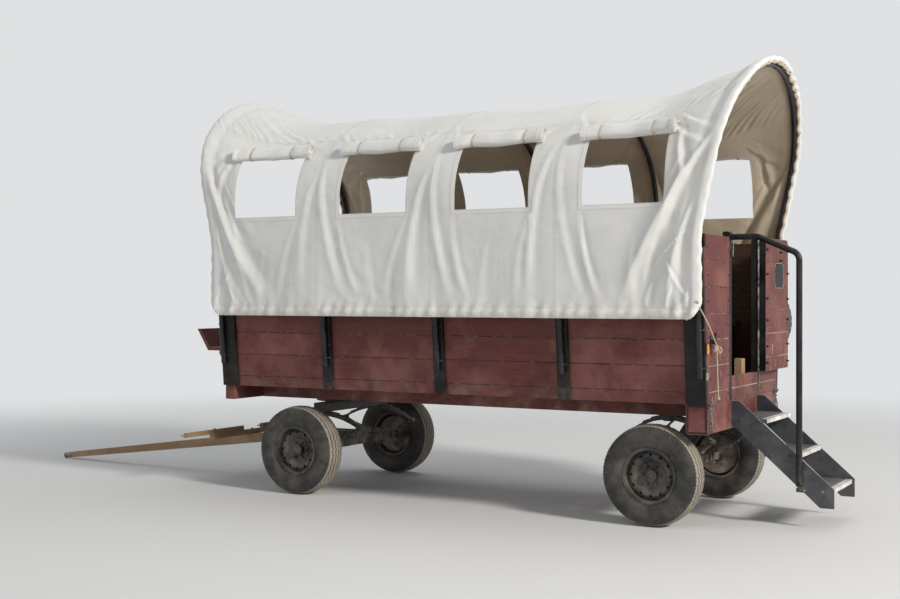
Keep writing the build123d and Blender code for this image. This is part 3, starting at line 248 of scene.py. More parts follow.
def enamel(name, paint, rough=0.34, dust=0.35, rust=0.15, metallic=0.0, edge_wear_and_highlight=0.0, rubbed=0.0,
           under=(0.33, 0.32, 0.31), sheen=0.5):
    """Painted or plated steel: soft orange peel, wear and scratches to bare metal, dust on what looks up; on
    the steps the pale edges are also a painted highlight.
    """
    s = Surface(name, Metallic=metallic, Specular_IOR_Level=sheen)
    place = s.place()
    soft, edge = s.edges(0.0025)
    cloud = s.noise(place, 7.0, 5.0, 0.6)
    grit = s.noise(place, 90.0, 4.0, 0.7)
    scratch = s.noise(s.stretch(place, (60.0, 60.0, 6.0)), 3.0, 3.0, 0.6, 0.8)
    colour = s.coat(paint, toned(paint, 1.7, 0.008), s.span(cloud, 0.35, 0.7))
    # pale edges: wear, and on the steps also a painted highlight of their sunlit edges
    start = 0.55 - 0.30 * edge_wear_and_highlight
    worn = s.span(s.noise(place, 30.0, 5.0, 0.6), start, start + 0.09)
    colour = s.coat(colour, under, edge, worn, 0.8 + 0.2 * edge_wear_and_highlight)
    if rubbed:
        patches = s.noise(s.stretch(place, (9.0, 9.0, 4.0)), 2.6, 7.0, 0.72, 0.8)
        colour = s.coat(colour, under, s.span(patches, 0.62 - 0.2 * rubbed, 0.66), 0.95)
    colour = s.coat(colour, RUST, s.span(s.noise(place, 16.0, 6.0, 0.7), 0.64, 0.72), rust)
    colour = s.coat(colour, SCRATCH, s.span(scratch, 0.66, 0.72), 0.25)
    colour = s.coat(colour, DUST, s.span(s.facing("Z"), 0.3, 0.95), s.span(grit, 0.3, 0.75, 0.2, 1.0), dust)
    low = s.span(s.part(place, "Z"), 0.9, 0.15)
    colour = s.coat(colour, ROAD_DIRT, low, s.span(cloud, 0.35, 0.65), dust * 1.3)
    shine = s.span(s.plus(cloud, s.times(grit, 0.5)), 0.5, 1.1, rough - 0.08, rough + 0.3)
    peel = s.plus(s.noise(place, 220.0, 2.0), s.times(cloud, 3.0))
    return s.finish(colour, shine, s.bump(peel, 0.0004, 0.6, soft))


def rubber(name, base, dusty, amount):
    """Tyre rubber with road dust, most of it on the tread."""
    s = Surface(name, Specular_IOR_Level=0.3)
    place = s.place()
    cloud = s.noise(place, 6.0, 5.0, 0.65)
    grit = s.noise(place, 130.0, 4.0, 0.7)
    tread = s.span(s.math("ABSOLUTE", s.facing("Y")), 0.75, 0.35)
    film = s.plus(s.times(tread, 0.75), s.span(cloud, 0.35, 0.75, 0.02, 0.26))
    film = s.times(film, s.span(grit, 0.25, 0.75, 0.6, 1.0))
    shine = s.span(film, 0.1, 0.9, 0.62, 0.95)
    relief = s.plus(grit, s.times(cloud, 0.5))
    return s.finish(s.coat(base, dusty, film, amount), shine, s.bump(relief, 0.0006, 0.5))


def canvas(name, cloth, shade, stain):
    """Duck canvas: plain weave by the cloth's own UVs, mottled, with stains and dirt towards the hem."""
    s = Surface(name, Roughness=0.86, Sheen_Weight=0.25, Sheen_Roughness=0.5, Subsurface_Weight=CLOTH_GLOW,
                Subsurface_Radius=CLOTH_GLOW_REACH, Subsurface_Scale=0.006)
    place, cloth_place = s.place(), s.place("UV")
    blotch = s.noise(place, 6.5, 6.0, 0.7, 0.6)
    runs = s.noise(s.stretch(place, (9.0, 9.0, 0.9)), 1.4, 5.0, 0.65)
    colour = s.coat(cloth, shade, s.span(s.noise(place, 1.9, 5.0, 0.6), 0.38, 0.66))
    height = s.part(place, "Z")
    colour = s.coat(colour, stain, s.span(runs, 0.50, 0.72), s.span(height, 2.3, 1.5, 0.10, 1.0), 0.40)
    colour = s.coat(colour, stain, s.span(blotch, 0.64, 0.78), 0.30)
    hem = s.span(height, 1.60, 1.49)
    colour = s.coat(colour, HEM_DIRT, hem, s.span(blotch, 0.35, 0.65, 0.2, 1.0), 0.35)
    warp, weft = (s.wave(cloth_place, THREADS_A_METRE, 0.6, 1.0, bands_direction=way) for way in "XY")
    slubs = s.noise(s.stretch(cloth_place, (12.0, 260.0, 1.0)), 1.0, 3.0)
    weave = s.plus(s.times(warp, weft), s.times(slubs, 0.8))
    creased = s.bump(s.noise(place, 11.0, 5.0, 0.62, 1.1), 0.010, 0.35)
    return s.finish(colour, None, s.bump(weave, 0.0006, 0.55, creased))


def plain(name, colour, rough, metallic=0.0, relief=0.0003, spread=0.25):
    """Small fittings: a mottled finish with a fine grain."""
    s = Surface(name, Metallic=metallic)
    place = s.place()
    cloud = s.noise(place, 35.0, 4.0, 0.65)
    tone = s.coat(colour, toned(colour, 1 - spread), s.span(cloud, 0.3, 0.75))
    shine = s.span(cloud, 0.3, 0.8, rough, min(1.0, rough + 0.25))
    return s.finish(tone, shine, s.bump(s.noise(place, 300.0, 2.0), relief, 0.5))


def end_grain(name, early, late):
    """A sawn block of bare wood: growth rings about a pith low on one side, with radial checks."""
    s = Surface(name, Roughness=0.8)
    place = s.stretch(s.place(), (1.0, 1.0, 0.55), (0.0, -0.02, 0.45))
    rings = s.wave(place, 42.0, 2.2, 3.0, 1.2, wave_type="RINGS", rings_direction="X")
    checks = s.span(s.noise(s.stretch(s.place(), (60.0, 60.0, 7.0)), 1.6, 5.0, 0.7, 1.0), 0.60, 0.68)
    colour = s.coat(early, late, s.span(rings, 0.25, 0.85))
    colour = s.coat(colour, toned(late, 0.25), checks, 0.7)
    return s.finish(colour, None, s.bump(s.plus(rings, checks), 0.0012, 0.6))


def rope_cloth(name, pale, dark):
    s = Surface(name, Roughness=0.85, Sheen_Weight=0.2)
    fibre = s.noise(s.stretch(s.place(), (500.0, 500.0, 120.0)), 1.0, 4.0, 0.7)
    return s.finish(s.coat(pale, dark, s.span(fibre, 0.3, 0.7)), None, s.bump(fibre, 0.0008, 0.6))


red = dict(paint=OXBLOOD, faded=OXBLOOD_FADED, bare=BARE, sheen=0.25)
black = dict(paint=BLACK, faded=BLACK_FADED, bare=BROWN, rough=(0.4, 0.65), sheen=0.2)
deck = dict(paint=(0.20, 0.145, 0.10), faded=(0.30, 0.235, 0.17), bare=(0.42, 0.33, 0.24), rough=(0.65, 0.9))
ash = dict(paint=(0.33, 0.20, 0.10), faded=(0.42, 0.28, 0.16), bare=(0.55, 0.43, 0.30), rough=(0.45, 0.7))
stained = dict(paint=(0.165, 0.075, 0.045), faded=(0.24, 0.13, 0.08), bare=(0.40, 0.28, 0.18),
               rough=(0.4, 0.7), wear=0.8)
DOOR_TOP, FRONT_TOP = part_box("rear_door")[1].z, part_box("front_wall")[1].z
FINISHES = {
    boards: dict(
        red_long=dict(grain="X", seam_top=WALL_TOP, wear=0.4, rubbed=0.12, inside=across_walls, **red),
        red_cross=dict(grain="Y", seam_top=WALL_TOP, wear=0.7, rubbed=0.8, scuffs=0.5, inside=across_ends,
                       **red),
        red_door=dict(grain="Y", seam_top=DOOR_TOP, wear=0.8, rubbed=0.9, scuffs=1.0, **red),
        red_front=dict(grain="Y", seam_top=FRONT_TOP, wear=0.5, rubbed=0.2, inside=across_ends, **red),
        red_beam=dict(grain="Y", wear=0.8, **red),
        red_sill=dict(grain="X", wear=0.4, **red),
        black_upright=dict(grain="Z", **black),
        black_long=dict(grain="X", **black),
        floor=dict(grain="X", wear=0.8, **deck),
        floor_cross=dict(grain="Y", **deck),
        bench=dict(grain="X", **stained),
        ash=dict(grain="X", **ash),
        ash_cross=dict(grain="Y", **ash)),
    enamel: dict(
        black_steel=dict(paint=(0.008, 0.008, 0.010), rough=0.26, dust=0.08, sheen=0.35),
        axle_steel=dict(paint=(0.020, 0.019, 0.019), rough=0.5, dust=0.75, rust=0.6),
        hinge_steel=dict(paint=(0.014, 0.014, 0.015), rough=0.38, dust=0.2, rust=0.3, metallic=0.2,
                         edge_wear_and_highlight=0.5, rubbed=0.9, under=(0.46, 0.45, 0.43)),
        wheel_steel=dict(paint=(0.022, 0.022, 0.024), rough=0.42, dust=0.22, rust=0.3, sheen=0.35),
        # the steps' pale edges are partly wear, partly a painted highlight of sunlit edges
        tread_steel=dict(paint=(0.050, 0.055, 0.064), rough=0.5, dust=0.12, rust=0.3, metallic=0.2,
                         edge_wear_and_highlight=1.0, under=(0.62, 0.61, 0.58)),
        bright_steel=dict(paint=(0.62, 0.61, 0.58), rough=0.35, dust=0.15, rust=0.2, metallic=0.3),
        grey_iron=dict(paint=(0.12, 0.115, 0.11), rough=0.5, dust=0.7, rust=0.6, metallic=0.3)),
    rubber: dict(
        tyre_road=dict(base=(0.026, 0.026, 0.027), dusty=(0.52, 0.46, 0.37), amount=0.85),
        tyre_spare=dict(base=(0.040, 0.043, 0.048), dusty=(0.25, 0.26, 0.27), amount=0.55)),
    canvas: dict(
        canvas_outside=dict(cloth=(0.80, 0.79, 0.76), shade=(0.73, 0.72, 0.69), stain=(0.62, 0.57, 0.49)),
        # inner face of the cloth: its darker warm tan is painted shade under the cover and painted warm light
        # through the cloth
        canvas_inside=dict(cloth=(0.62, 0.53, 0.40), shade=(0.54, 0.45, 0.33), stain=(0.42, 0.33, 0.23)),
        canvas_edge=dict(cloth=(0.81, 0.80, 0.77), shade=(0.74, 0.73, 0.70), stain=(0.56, 0.50, 0.42)),
        # gathered casing: its brown, darker than the cloth, is painted shade between the gathers
        canvas_gathers=dict(cloth=(0.50, 0.41, 0.30), shade=(0.40, 0.31, 0.21), stain=(0.33, 0.25, 0.17))),
    end_grain: dict(end_grain=dict(early=(0.52, 0.37, 0.22), late=(0.33, 0.20, 0.10))),
    rope_cloth: dict(rope=dict(pale=HEMP, dark=HEMP_DARK)),
    plain: dict(
        webbing=dict(colour=(0.62, 0.58, 0.50), rough=0.8, relief=0.0006),
        stitching=dict(colour=(0.34, 0.26, 0.18), rough=0.85, relief=0.0006),
        bolt_black=dict(colour=(0.016, 0.015, 0.015), rough=0.38, metallic=0.3),
        zinc=dict(colour=(0.46, 0.46, 0.45), rough=0.35, metallic=0.9),
        plate=dict(colour=(0.022, 0.025, 0.021), rough=0.65, relief=0.0004, spread=0.5),
        amber=dict(colour=(0.85, 0.30, 0.02), rough=0.15, relief=0.0001, spread=0.1)),
}
MATERIALS = {name: maker(name, **settings)
             for maker, kinds in FINISHES.items() for name, settings in kinds.items()}

NODE_FINISH = {
    "red_long": "side_wall_left side_wall_right",
    "red_cross": "rear_wall_left rear_wall_right threshold",
    "red_door": "rear_door",
    "red_front": "front_wall",
    "red_beam": "rear_beam front_beam footboard",
    "red_sill": "sills",
    "black_upright": "side_posts_left side_posts_right jamb_posts",
    "black_long": "top_rails",
    "floor": "floor_deck",
    "floor_cross": "floor_bearers",
    "bench": "bench_left bench_right driver_seat",
    "ash": "pole",
    "ash_cross": "evener singletree_left singletree_right",
    "black_steel": "door_edging bows handrail rope_cleat spare_carrier",
    "axle_steel": "rear_axle front_axle rear_springs front_springs upper_turntable lower_turntable hounds "
                  "pole_ferrule evener_pin",
    "hinge_steel": "door_hinge_fixed door_hinge_moving",
    "wheel_steel": "spare_wheel wheel_rear_left wheel_rear_right wheel_front_left wheel_front_right",
    "tread_steel": "steps",
}


def dress_nodes():
    for finish, names in NODE_FINISH.items():
        for name in names.split():
            mesh = NODES[name].data
            mesh.materials.clear()
            mesh.materials.append(MATERIALS[finish])


# Shapes
def joined(forms):
    """Several (vertices, faces) forms as one."""
    verts, faces = [], []
    for some_verts, some_faces in forms:
        start = len(verts)
        verts.extend(some_verts)
        faces.extend([tuple(i + start for i in face) for face in some_faces])
    return verts, faces


def made(name, forms, finishes, slot="black_steel", body="wagon", smooth=32.0):
    """A mesh piece of some forms with its named finishes, that rides on a body; the slot is not used."""
    verts, faces = joined(forms)
    mesh = bpy.data.meshes.new(name)
    mesh.from_pydata([tuple(v) for v in verts], [], faces)
    mesh.update()
    for finish in finishes.split():
        mesh.materials.append(MATERIALS[finish])
    mesh.polygons.foreach_set("use_smooth", [True] * len(mesh.polygons))
    mesh.set_sharp_from_angle(angle=math.radians(smooth))
    piece = bpy.data.objects.new(name, mesh)
    bpy.context.scene.collection.objects.link(piece)
    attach(piece, body)
    return piece


def put(form, place, direction, roll=(0, 0, 1)):
    """A form drawn along +Z, carried to a place to point along a direction."""
    z = Vector(direction).normalized()
    x = Vector(roll).cross(z)
    if x.length < 1e-4:
        x = Vector((1, 0, 0)).cross(z)
    x.normalize()
    matrix = Matrix.Translation(place) @ Matrix((x, z.cross(x), z)).transposed().to_4x4()
    return [matrix @ Vector(v) for v in form[0]], form[1]


def lathe(profile, segments):
    """A closed form turned about Z from (radius, z) points that start and end on the axis."""
    verts = [Vector((0, 0, profile[0][1]))]
    for radius, z in profile[1:-1]:
        for i in range(segments):
            turn = TURN * i / segments
            verts.append(Vector((radius * math.cos(turn), radius * math.sin(turn), z)))
    verts.append(Vector((0, 0, profile[-1][1])))
    faces = []
    top = 1 + (len(profile) - 3) * segments
    for i in range(segments):
        j = (i + 1) % segments
        faces.append((0, 1 + j, 1 + i))
        for low in range(1, top, segments):
            faces.append((low + i, low + j, low + segments + j, low + segments + i))
        faces.append((top + i, top + j, len(verts) - 1))
    return verts, faces


def dome(radius, height, segments=12):
    """A carriage bolt's head on a face at z = 0."""
    profile = [(0, -0.001), (radius, -0.001), (radius, height * 0.25)]
    for step in (30, 60):
        angle = math.radians(step)
        profile.append((radius * math.cos(angle), height * (0.25 + 0.75 * math.sin(angle))))
    return lathe(profile + [(0, height)], segments)


def nut(radius, height, stud, reach=0.007):
    """A hexagonal nut on a washer, with the end of its stud."""
    washer = lathe([(0, -0.001), (radius * 1.25, -0.001), (radius * 1.25, 0.002), (0, 0.002)], 16)
    body = lathe([(0, 0.0015), (radius * 0.92, 0.0015), (radius, 0.0035), (radius, height - 0.0015),
                  (radius * 0.9, height), (0, height)], 6)
    end = lathe([(0, height - 0.001), (stud, height - 0.001), (stud, height + reach),
                 (stud * 0.8, height + reach + 0.002), (0, height + reach + 0.002)], 10)
    return joined([washer, body, end])


def slab(low, high, bevel=0.001):
    """A block between two corners with its edges broken."""
    low, high = Vector(low), Vector(high)
    size, middle = high - low, (low + high) / 2
    cut = min(bevel, min(size) * 0.3)
    corners = list(product((-1, 1), repeat=3))
    verts = [middle + Vector([signs[i] * (size[i] / 2 - (0 if i == axis else cut)) for i in range(3)])
             for signs in corners for axis in range(3)]
    faces = []
    for axis in range(3):
        one, two = (axis + 1) % 3, (axis + 2) % 3

        def index(sign, a, b, which):
            signs = [0, 0, 0]
            signs[axis], signs[one], signs[two] = sign, a, b
            return corners.index(tuple(signs)) * 3 + which

        for sign in (-1, 1):
            ring = [index(sign, a, b, axis) for a, b in ((-1, -1), (1, -1), (1, 1), (-1, 1))]
            faces.append(ring[::sign])
        for a, b in SQUARE:
            ring = [index(sign, a, b, which) for sign, which in ((-1, one), (1, one), (1, two), (-1, two))]
            faces.append(ring[::a * b])
    for k, signs in enumerate(corners):
        faces.append([k * 3, k * 3 + 1, k * 3 + 2][::math.prod(signs)])
    return verts, faces


def ways_along(points):
    """The direction of a path at each of its points."""
    for i in range(len(points)):
        yield (points[min(i + 1, len(points) - 1)] - points[max(i - 1, 0)]).normalized()


def frames_along(points):
    """Two directions across a path at each point, turned as little as possible along it."""
    sides = []
    side = None
    for way in ways_along(points):
        if side is None:
            side = Vector((0, 0, 1)).cross(way)
            if side.length < 1e-4:
                side = Vector((1, 0, 0)).cross(way)
        side = (side - way * side.dot(way)).normalized()
        sides.append((side.copy(), way.cross(side)))
    return sides


def round_path(here, sides, turn, size):
    """A place round a path's point, by its two directions across."""
    return here + (sides[0] * math.cos(turn) + sides[1] * math.sin(turn)) * size


def tube(points, radius, segments=10, closed=False):
    """A round tube along points; radius is a number or a list with one for each point."""
    points = [Vector(p) for p in points]
    count = len(points)
    sizes = radius if isinstance(radius, list) else [radius] * count
    verts, faces = [], []
    for here, sides, size in zip(points, frames_along(points), sizes):
        verts += [round_path(here, sides, TURN * k / segments, size) for k in range(segments)]
    for i in range(count if closed else count - 1):
        low, high = i * segments, ((i + 1) % count) * segments
        for k in range(segments):
            j = (k + 1) % segments
            faces.append((low + k, low + j, high + j, high + k))
    if not closed:
        faces.append(tuple(range(segments))[::-1])
        faces.append(tuple((count - 1) * segments + k for k in range(segments)))
    return verts, faces


def ribbon(points, thickness, width):
    """A flat strap along points, with its width along the wagon."""
    points = [Vector(p) for p in points]
    verts, faces = [], []
    for here, way in zip(points, ways_along(points)):
        side = Vector((1, 0, 0))
        side = (side - way * side.dot(way)).normalized()
        up = way.cross(side)
        for a, b in ((-1, -1), (1, -1), (1, 1), (-1, 1)):
            verts.append(here + side * (a * width / 2) + up * (b * thickness / 2))
    for low in range(0, len(verts) - 4, 4):
        faces += [(low + k, low + (k + 1) % 4, low + 4 + (k + 1) % 4, low + 4 + k) for k in range(4)]
    return verts, faces + [(3, 2, 1, 0), tuple(range(len(verts) - 4, len(verts)))]


def grid_faces(rows, columns, wrap=False):
    faces = []
    for i in range(rows - 1):
        for j in range(columns if wrap else columns - 1):
            k = (j + 1) % columns
            faces.append((i * columns + j, i * columns + k, (i + 1) * columns + k, (i + 1) * columns + j))
    return faces


# Cover: where its cloth lies
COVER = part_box("canvas_cover")
COVER_HALF = (COVER[1].y - COVER[0].y) / 2
HEM = COVER[0].z
RIDGE = 3.176
RISE_SLOPE, RISE_FROM, RISE_SOFT = 0.341, 0.42, 0.20
EAVE, CROWN, SLOPE = 0.640, 1.240, math.radians(40)
CLOTH, CLOTH_INSET = 0.0030, 0.0045
END_OVERHANG, LIP = 0.020, 0.022
LIP_TURNS = (35, 70, 105, 140, 175)
END_LEAN, LEAN_FROM = math.radians(12), 2.100
CORNER_CUT, EDGE_GATHER, EDGE_REACH = 0.100, 0.017, 0.25
SHARP_FOLD = 78
WINDOW_WIDTH, WINDOW_LOW, WINDOW_HIGH = 0.620, 2.300, 2.800
HEM_BAND, HEM_THICKER = 0.065, 0.0016
SEAM_BELOW_RIDGE = 0.80
CROWN_RUN = CROWN * SLOPE
EAVE_RUN = EAVE * (math.pi / 2 - SLOPE)
EAVE_TANGENT = EAVE * math.tan((math.pi / 2 - SLOPE) / 2)
STRAIGHT_RUN = COVER_HALF / math.cos(SLOPE) - EAVE_TANGENT - CROWN * math.tan(SLOPE)

# Heights of the cloth's relief in metres, and what it may sink to between the bows
ROOF_SAG, SIDE_SAG = 0.013, 0.004
HEM_WAVES, HEM_GATHERS, HEM_PUFF, HEM_DIP, HEM_RIPPLES = 0.0055, 0.0075, 0.0050, 0.0040, 0.0030
SKIRT_WAVES, SEAM_PUCKERS, SEAM_RIDGE, CRUMPLE, STAR_RAYS = 0.005, 0.0075, 0.0026, 0.0014, 0.010
EDGE_SWELL, EDGE_HOLLOW = 0.010, 0.007
PRESSED, PRESSED_BETWEEN, PRESSED_SIDE, PRESSED_SOFT = 0.004, 0.040, 0.020, 0.007


def rise(x):
    """Soft bend from level to the slope that climbs to an end."""
    return (RISE_FROM - x + np.sqrt((RISE_FROM - x) ** 2 + RISE_SOFT ** 2)) / 2


def ridge_at(x):
    return RIDGE + RISE_SLOPE * (rise(x) + rise(BOX_LENGTH - x))


def eave_height(ridge):
    """Height where the upright side turns into the eave."""
    apex = ridge + CROWN * (1 / math.cos(SLOPE) - 1)
    return apex - COVER_HALF * math.tan(SLOPE) - EAVE_TANGENT


def down_to(x, z):
    """Distance down the cloth from the ridge to a height on the side or the eave."""
    eave = eave_height(ridge_at(x))
    over = np.clip((z - eave) / EAVE, 0, 1)
    return CROWN_RUN + STRAIGHT_RUN + EAVE_RUN - EAVE * np.arcsin(over) + np.maximum(eave - z, 0)


def arch(ridge, down):
    """Distance out, height and outward normal of the cloth, from the distance down it."""
    turn = np.clip(down / CROWN, 0, SLOPE)
    out, z = CROWN * np.sin(turn), ridge - CROWN * (1 - np.cos(turn))
    straight = np.clip(down - CROWN_RUN, 0, STRAIGHT_RUN)
    out, z = out + straight * math.cos(SLOPE), z - straight * math.sin(SLOPE)
    bend = SLOPE + np.clip((down - CROWN_RUN - STRAIGHT_RUN) / EAVE, 0, math.pi / 2 - SLOPE)
    out = out + EAVE * (np.sin(bend) - math.sin(SLOPE))
    z = z - EAVE * (math.cos(SLOPE) - np.cos(bend))
    z = z - np.maximum(down - CROWN_RUN - STRAIGHT_RUN - EAVE_RUN, 0)
    angle = np.where(down < CROWN_RUN, turn, bend)
    return out, z, np.sin(angle), np.cos(angle)


def end_lean(z):
    """How far the ends of the cover lean out at a height."""
    return np.maximum(z - LEAN_FROM, 0) * math.tan(END_LEAN)


def soft_step(value, low, high):
    t = np.clip((value - low) / (high - low), 0, 1)
    return t * t * (3 - 2 * t)


def bell(value, width):
    return np.exp(-(value / width) ** 2)


FOLD_ACROSS = (-4.0, -2.5, -1.4, -0.7, -0.3, 0.0, 0.5, 1.0, 1.5, 1.9, 2.5, 3.2, 4.0)
FOLD_HEIGHTS = (0.0, 0.06, 0.25, 0.52, 0.78, 1.0, 0.45, -0.15, -0.50, -0.58, -0.42, -0.17, 0.0)
# Folds at an end corner, columns: x and z of the start, x and z of the end, width at each, height
CORNER_FOLDS = [
    (-0.07, 2.76, 0.60, 1.60, 0.022, 0.075, 0.034),
    (0.16, 2.80, 0.12, 2.44, 0.016, 0.034, 0.015),
    (0.12, 2.52, 0.30, 2.06, 0.018, 0.040, 0.014),
    (0.06, 2.30, 0.24, 1.58, 0.018, 0.050, 0.016),
    (0.26, 2.86, -0.08, 2.68, 0.012, 0.030, 0.011),
    (0.20, 2.93, -0.12, 2.80, 0.010, 0.026, 0.008),
    (0.06, 2.14, 0.34, 1.84, 0.007, 0.014, 0.008),
    (0.24, 1.90, 0.07, 1.60, 0.007, 0.016, 0.008),
    (0.34, 1.76, 0.40, 1.55, 0.010, 0.026, 0.010),
    (0.20, 1.72, 0.24, 1.55, 0.008, 0.022, 0.008),
    (0.08, 1.70, 0.12, 1.55, 0.008, 0.020, 0.007),
    (0.10, 2.66, 0.30, 2.30, 0.008, 0.020, 0.007),
]
ROOF_CREASES = 13
CREASE_REACHES = (1.0, 0.9, 0.72, 0.55, 0.42)


def crease(x, down, start, end, widths, height):
    """A fold from one place to another: a crest with a flat facet behind it that falls to a hollow."""
    way = np.array(end) - np.array(start)
    length = math.hypot(*way)
    way = way / length
    along = ((x - start[0]) * way[0] + (down - start[1]) * way[1]) / length
    across = (x - start[0]) * -way[1] + (down - start[1]) * way[0]
    across = across + 0.05 * length * np.sin(np.clip(along, 0, 1) * math.pi)
    width = widths[0] + (widths[1] - widths[0]) * np.clip(along, 0, 1)
    fade = soft_step(along, -0.05, 0.18) * (1 - soft_step(along, 0.70, 1.05))
    return height * fade * np.interp(across / width, FOLD_ACROSS, FOLD_HEIGHTS)


def fold_table(side):
    """Folds of one side: (start, end, widths, height), each place as x and distance down from the ridge."""
    luck = random.Random(41 if side > 0 else 97)
    some = luck.uniform
    folds = []

    def place(end, x, z):
        spot = BOX_LENGTH - x if end else x
        return spot, down_to(spot, z)

    for end in (0, 1):
        seen = side * (1 - 2 * end) > 0
        for x0, z0, x1, z1, w0, w1, height in CORNER_FOLDS:
            shift = some(-0.02, 0.02) if seen else some(-0.09, 0.09)
            size = some(0.92, 1.05) if seen else some(0.6, 1.0)
            folds.append((place(end, x0, z0), place(end, x1 + shift, z1), (w0, w1), height * size))
        for i in range(ROOF_CREASES):
            share = (i + some(-0.25, 0.25)) / (ROOF_CREASES - 1)
            x0, x1 = -0.24 + 0.06 * share, 0.92 - 0.90 * share
            low, high = 0.05 + 0.58 * share, 0.83 + some(-0.03, 0.04)
            reach = luck.choice(CREASE_REACHES)
            x0, low = x1 + (x0 - x1) * reach, high + (low - high) * reach
            if end:
                x0, x1 = BOX_LENGTH - x0, BOX_LENGTH - x1
            widths = (some(0.004, 0.008), some(0.012, 0.026))
            folds.append(((x0, low), (x1, high), widths, some(0.0025, 0.0075)))
    for station in STATIONS[1:-1]:
        for lean in (-1, 1):
            foot = station + lean * some(0.14, 0.40)
            folds.append(((station + lean * 0.02, some(0.98, 1.15)), (foot, 2.25), (0.012, some(0.035, 0.06)),
                          some(0.008, 0.015)))
            folds.append(((station + lean * 0.03, some(0.60, 0.75)), (foot, 1.0), (0.010, 0.030),
                          some(0.004, 0.008)))
    for middle in WINDOWS:
        for lean in (-1, 1):
            corner = middle + lean * (WINDOW_WIDTH / 2 + 0.02)
            foot = place(0, corner - lean * some(0.10, 0.24), 1.60)
            folds.append((place(0, corner, WINDOW_LOW - 0.01), foot, (0.008, 0.030), some(0.006, 0.011)))
        start, foot = (place(0, middle + some(-0.2, 0.2), z) for z in (2.1, 1.52))
        folds.append((start, foot, (0.012, 0.035), some(0.004, 0.009)))
    return folds


FOLDS = {side: fold_table(side) for side in SIDES}
GROMMETS = [(spot, down_to(spot, 2.82)) for spot in (0.14, BOX_LENGTH - 0.14)]


def ripple(value, seed, count=5, low=1.0, high=3.0):
    """A fixed uneven wave about zero, from a few sines."""
    luck = random.Random(seed)
    total = 0.0
    for _ in range(count):
        total = total + np.sin(value * luck.uniform(low, high) * TURN + luck.uniform(0, 6.28))
    return total / math.sqrt(count)


def relief(x, down, side, to_hem):
    """How far the cloth stands out of the plain arch."""
    bay = (x - STATIONS[0]) / (STATIONS[1] - STATIONS[0])
    between = np.sin(math.pi * np.clip(bay, 0, BAYS)) ** 2
    roof = 1 - soft_step(down, 0.9, 1.35)
    total = -ROOF_SAG * between * roof - SIDE_SAG * between * (1 - roof)
    for fold in FOLDS[side]:
        total += crease(x, down, *fold)

    # hem: waves, the gathers above its band, the puffed band and its sewn edge
    gathers = np.maximum(ripple(x + 0.25 * to_hem, 11 + side, 6, 5.0, 13.0), -0.5)
    puff = np.sin(math.pi * np.clip(to_hem / HEM_BAND, 0, 1))
    total += HEM_WAVES * np.exp(-to_hem / 0.15) * ripple(x, 5 + side, 5, 2.0, 5.5)
    total += HEM_GATHERS * bell(to_hem - HEM_BAND, 0.045) * gathers
    total += HEM_PUFF * puff * (1 + 0.7 * gathers) - HEM_DIP * bell(to_hem - HEM_BAND, 0.008)
    total += HEM_RIPPLES * np.exp(-to_hem / 0.05) * ripple(x, 71 + side, 5, 6.0, 12.0)
    total += SKIRT_WAVES * soft_step(down, 1.3, 2.2) * ripple(x + 0.12 * down, 21 + side, 4, 0.9, 2.4)

    # roof seam: puckers that slant away from each end, stronger near it
    seam = down - SEAM_BELOW_RIDGE
    pull = 0.45 + 0.55 * (1 - soft_step(np.minimum(x, BOX_LENGTH - x), 0.3, 1.4))
    slant = 0.9 * np.tanh((x - BOX_LENGTH / 2) / 0.8)
    puckers = np.maximum(ripple(x + slant * seam, 31 + side, 6, 8.0, 20.0), -0.35)
    total += SEAM_PUCKERS * pull * puckers * np.exp(-np.abs(seam) / np.where(seam > 0, 0.025, 0.085))
    total += SEAM_RIDGE * bell(seam, 0.008)
    crumpled = ripple(x + down * 0.6, 51 + side, 6, 1.5, 6.0)
    total += CRUMPLE * crumpled * ripple(down * 1.2 - x * 0.3, 61, 5, 1.0, 5.0)

    # rays round the star puckers, and the roll of the cloth behind its ends
    for spot_x, spot_down in GROMMETS:
        far = np.hypot(x - spot_x, down - spot_down)
        turn = np.arctan2(down - spot_down, x - spot_x)
        rays = np.abs(np.sin(4.5 * turn + 0.8 * np.sin(turn + side))) - 0.45
        total += STAR_RAYS * rays * soft_step(far, 0.0, 0.03) * np.exp(-far / 0.075)
    lean = end_lean(arch(ridge_at(x), down)[1])
    from_edge = np.minimum(x, BOX_LENGTH - x) + END_OVERHANG - LIP + lean
    total += EDGE_SWELL * bell(from_edge - 0.038, 0.034) - EDGE_HOLLOW * bell(from_edge - 0.125, 0.030)

    # the bows hold it out
    to_bow = np.minimum(np.abs(x - STATIONS[0] + lean), np.abs(x - STATIONS[-1] - lean))
    for station in STATIONS[1:-1]:
        to_bow = np.minimum(to_bow, np.abs(x - station))
    floor = -PRESSED - PRESSED_BETWEEN * soft_step(to_bow, 0.03, 0.16)
    floor -= PRESSED_SIDE * soft_step(down, 1.35, 1.6)
    clear = total - floor
    return floor + (clear + np.sqrt(clear ** 2 + PRESSED_SOFT ** 2)) / 2


def cloth_point(x, down, side, lift=0.0):
    """Points of the cloth's middle, moved out by a lift, and their outward normals."""
    x, down = np.broadcast_arrays(np.asarray(x, float), np.asarray(down, float))
    out, z, normal_out, normal_up = arch(ridge_at(x), down)
    to_hem = down_to(x, HEM) - down
    band = HEM_THICKER * (1 - soft_step(to_hem, HEM_BAND - 0.0005, HEM_BAND + 0.0005))
    move = relief(x, down, side, to_hem) + band - CLOTH_INSET + lift
    y = side * (out + normal_out * move)
    points = np.stack([REAR + x, MIDDLE + y, z + normal_up * move], axis=-1)
    return points, np.stack([np.zeros_like(x), side * normal_out, normal_up], axis=-1)


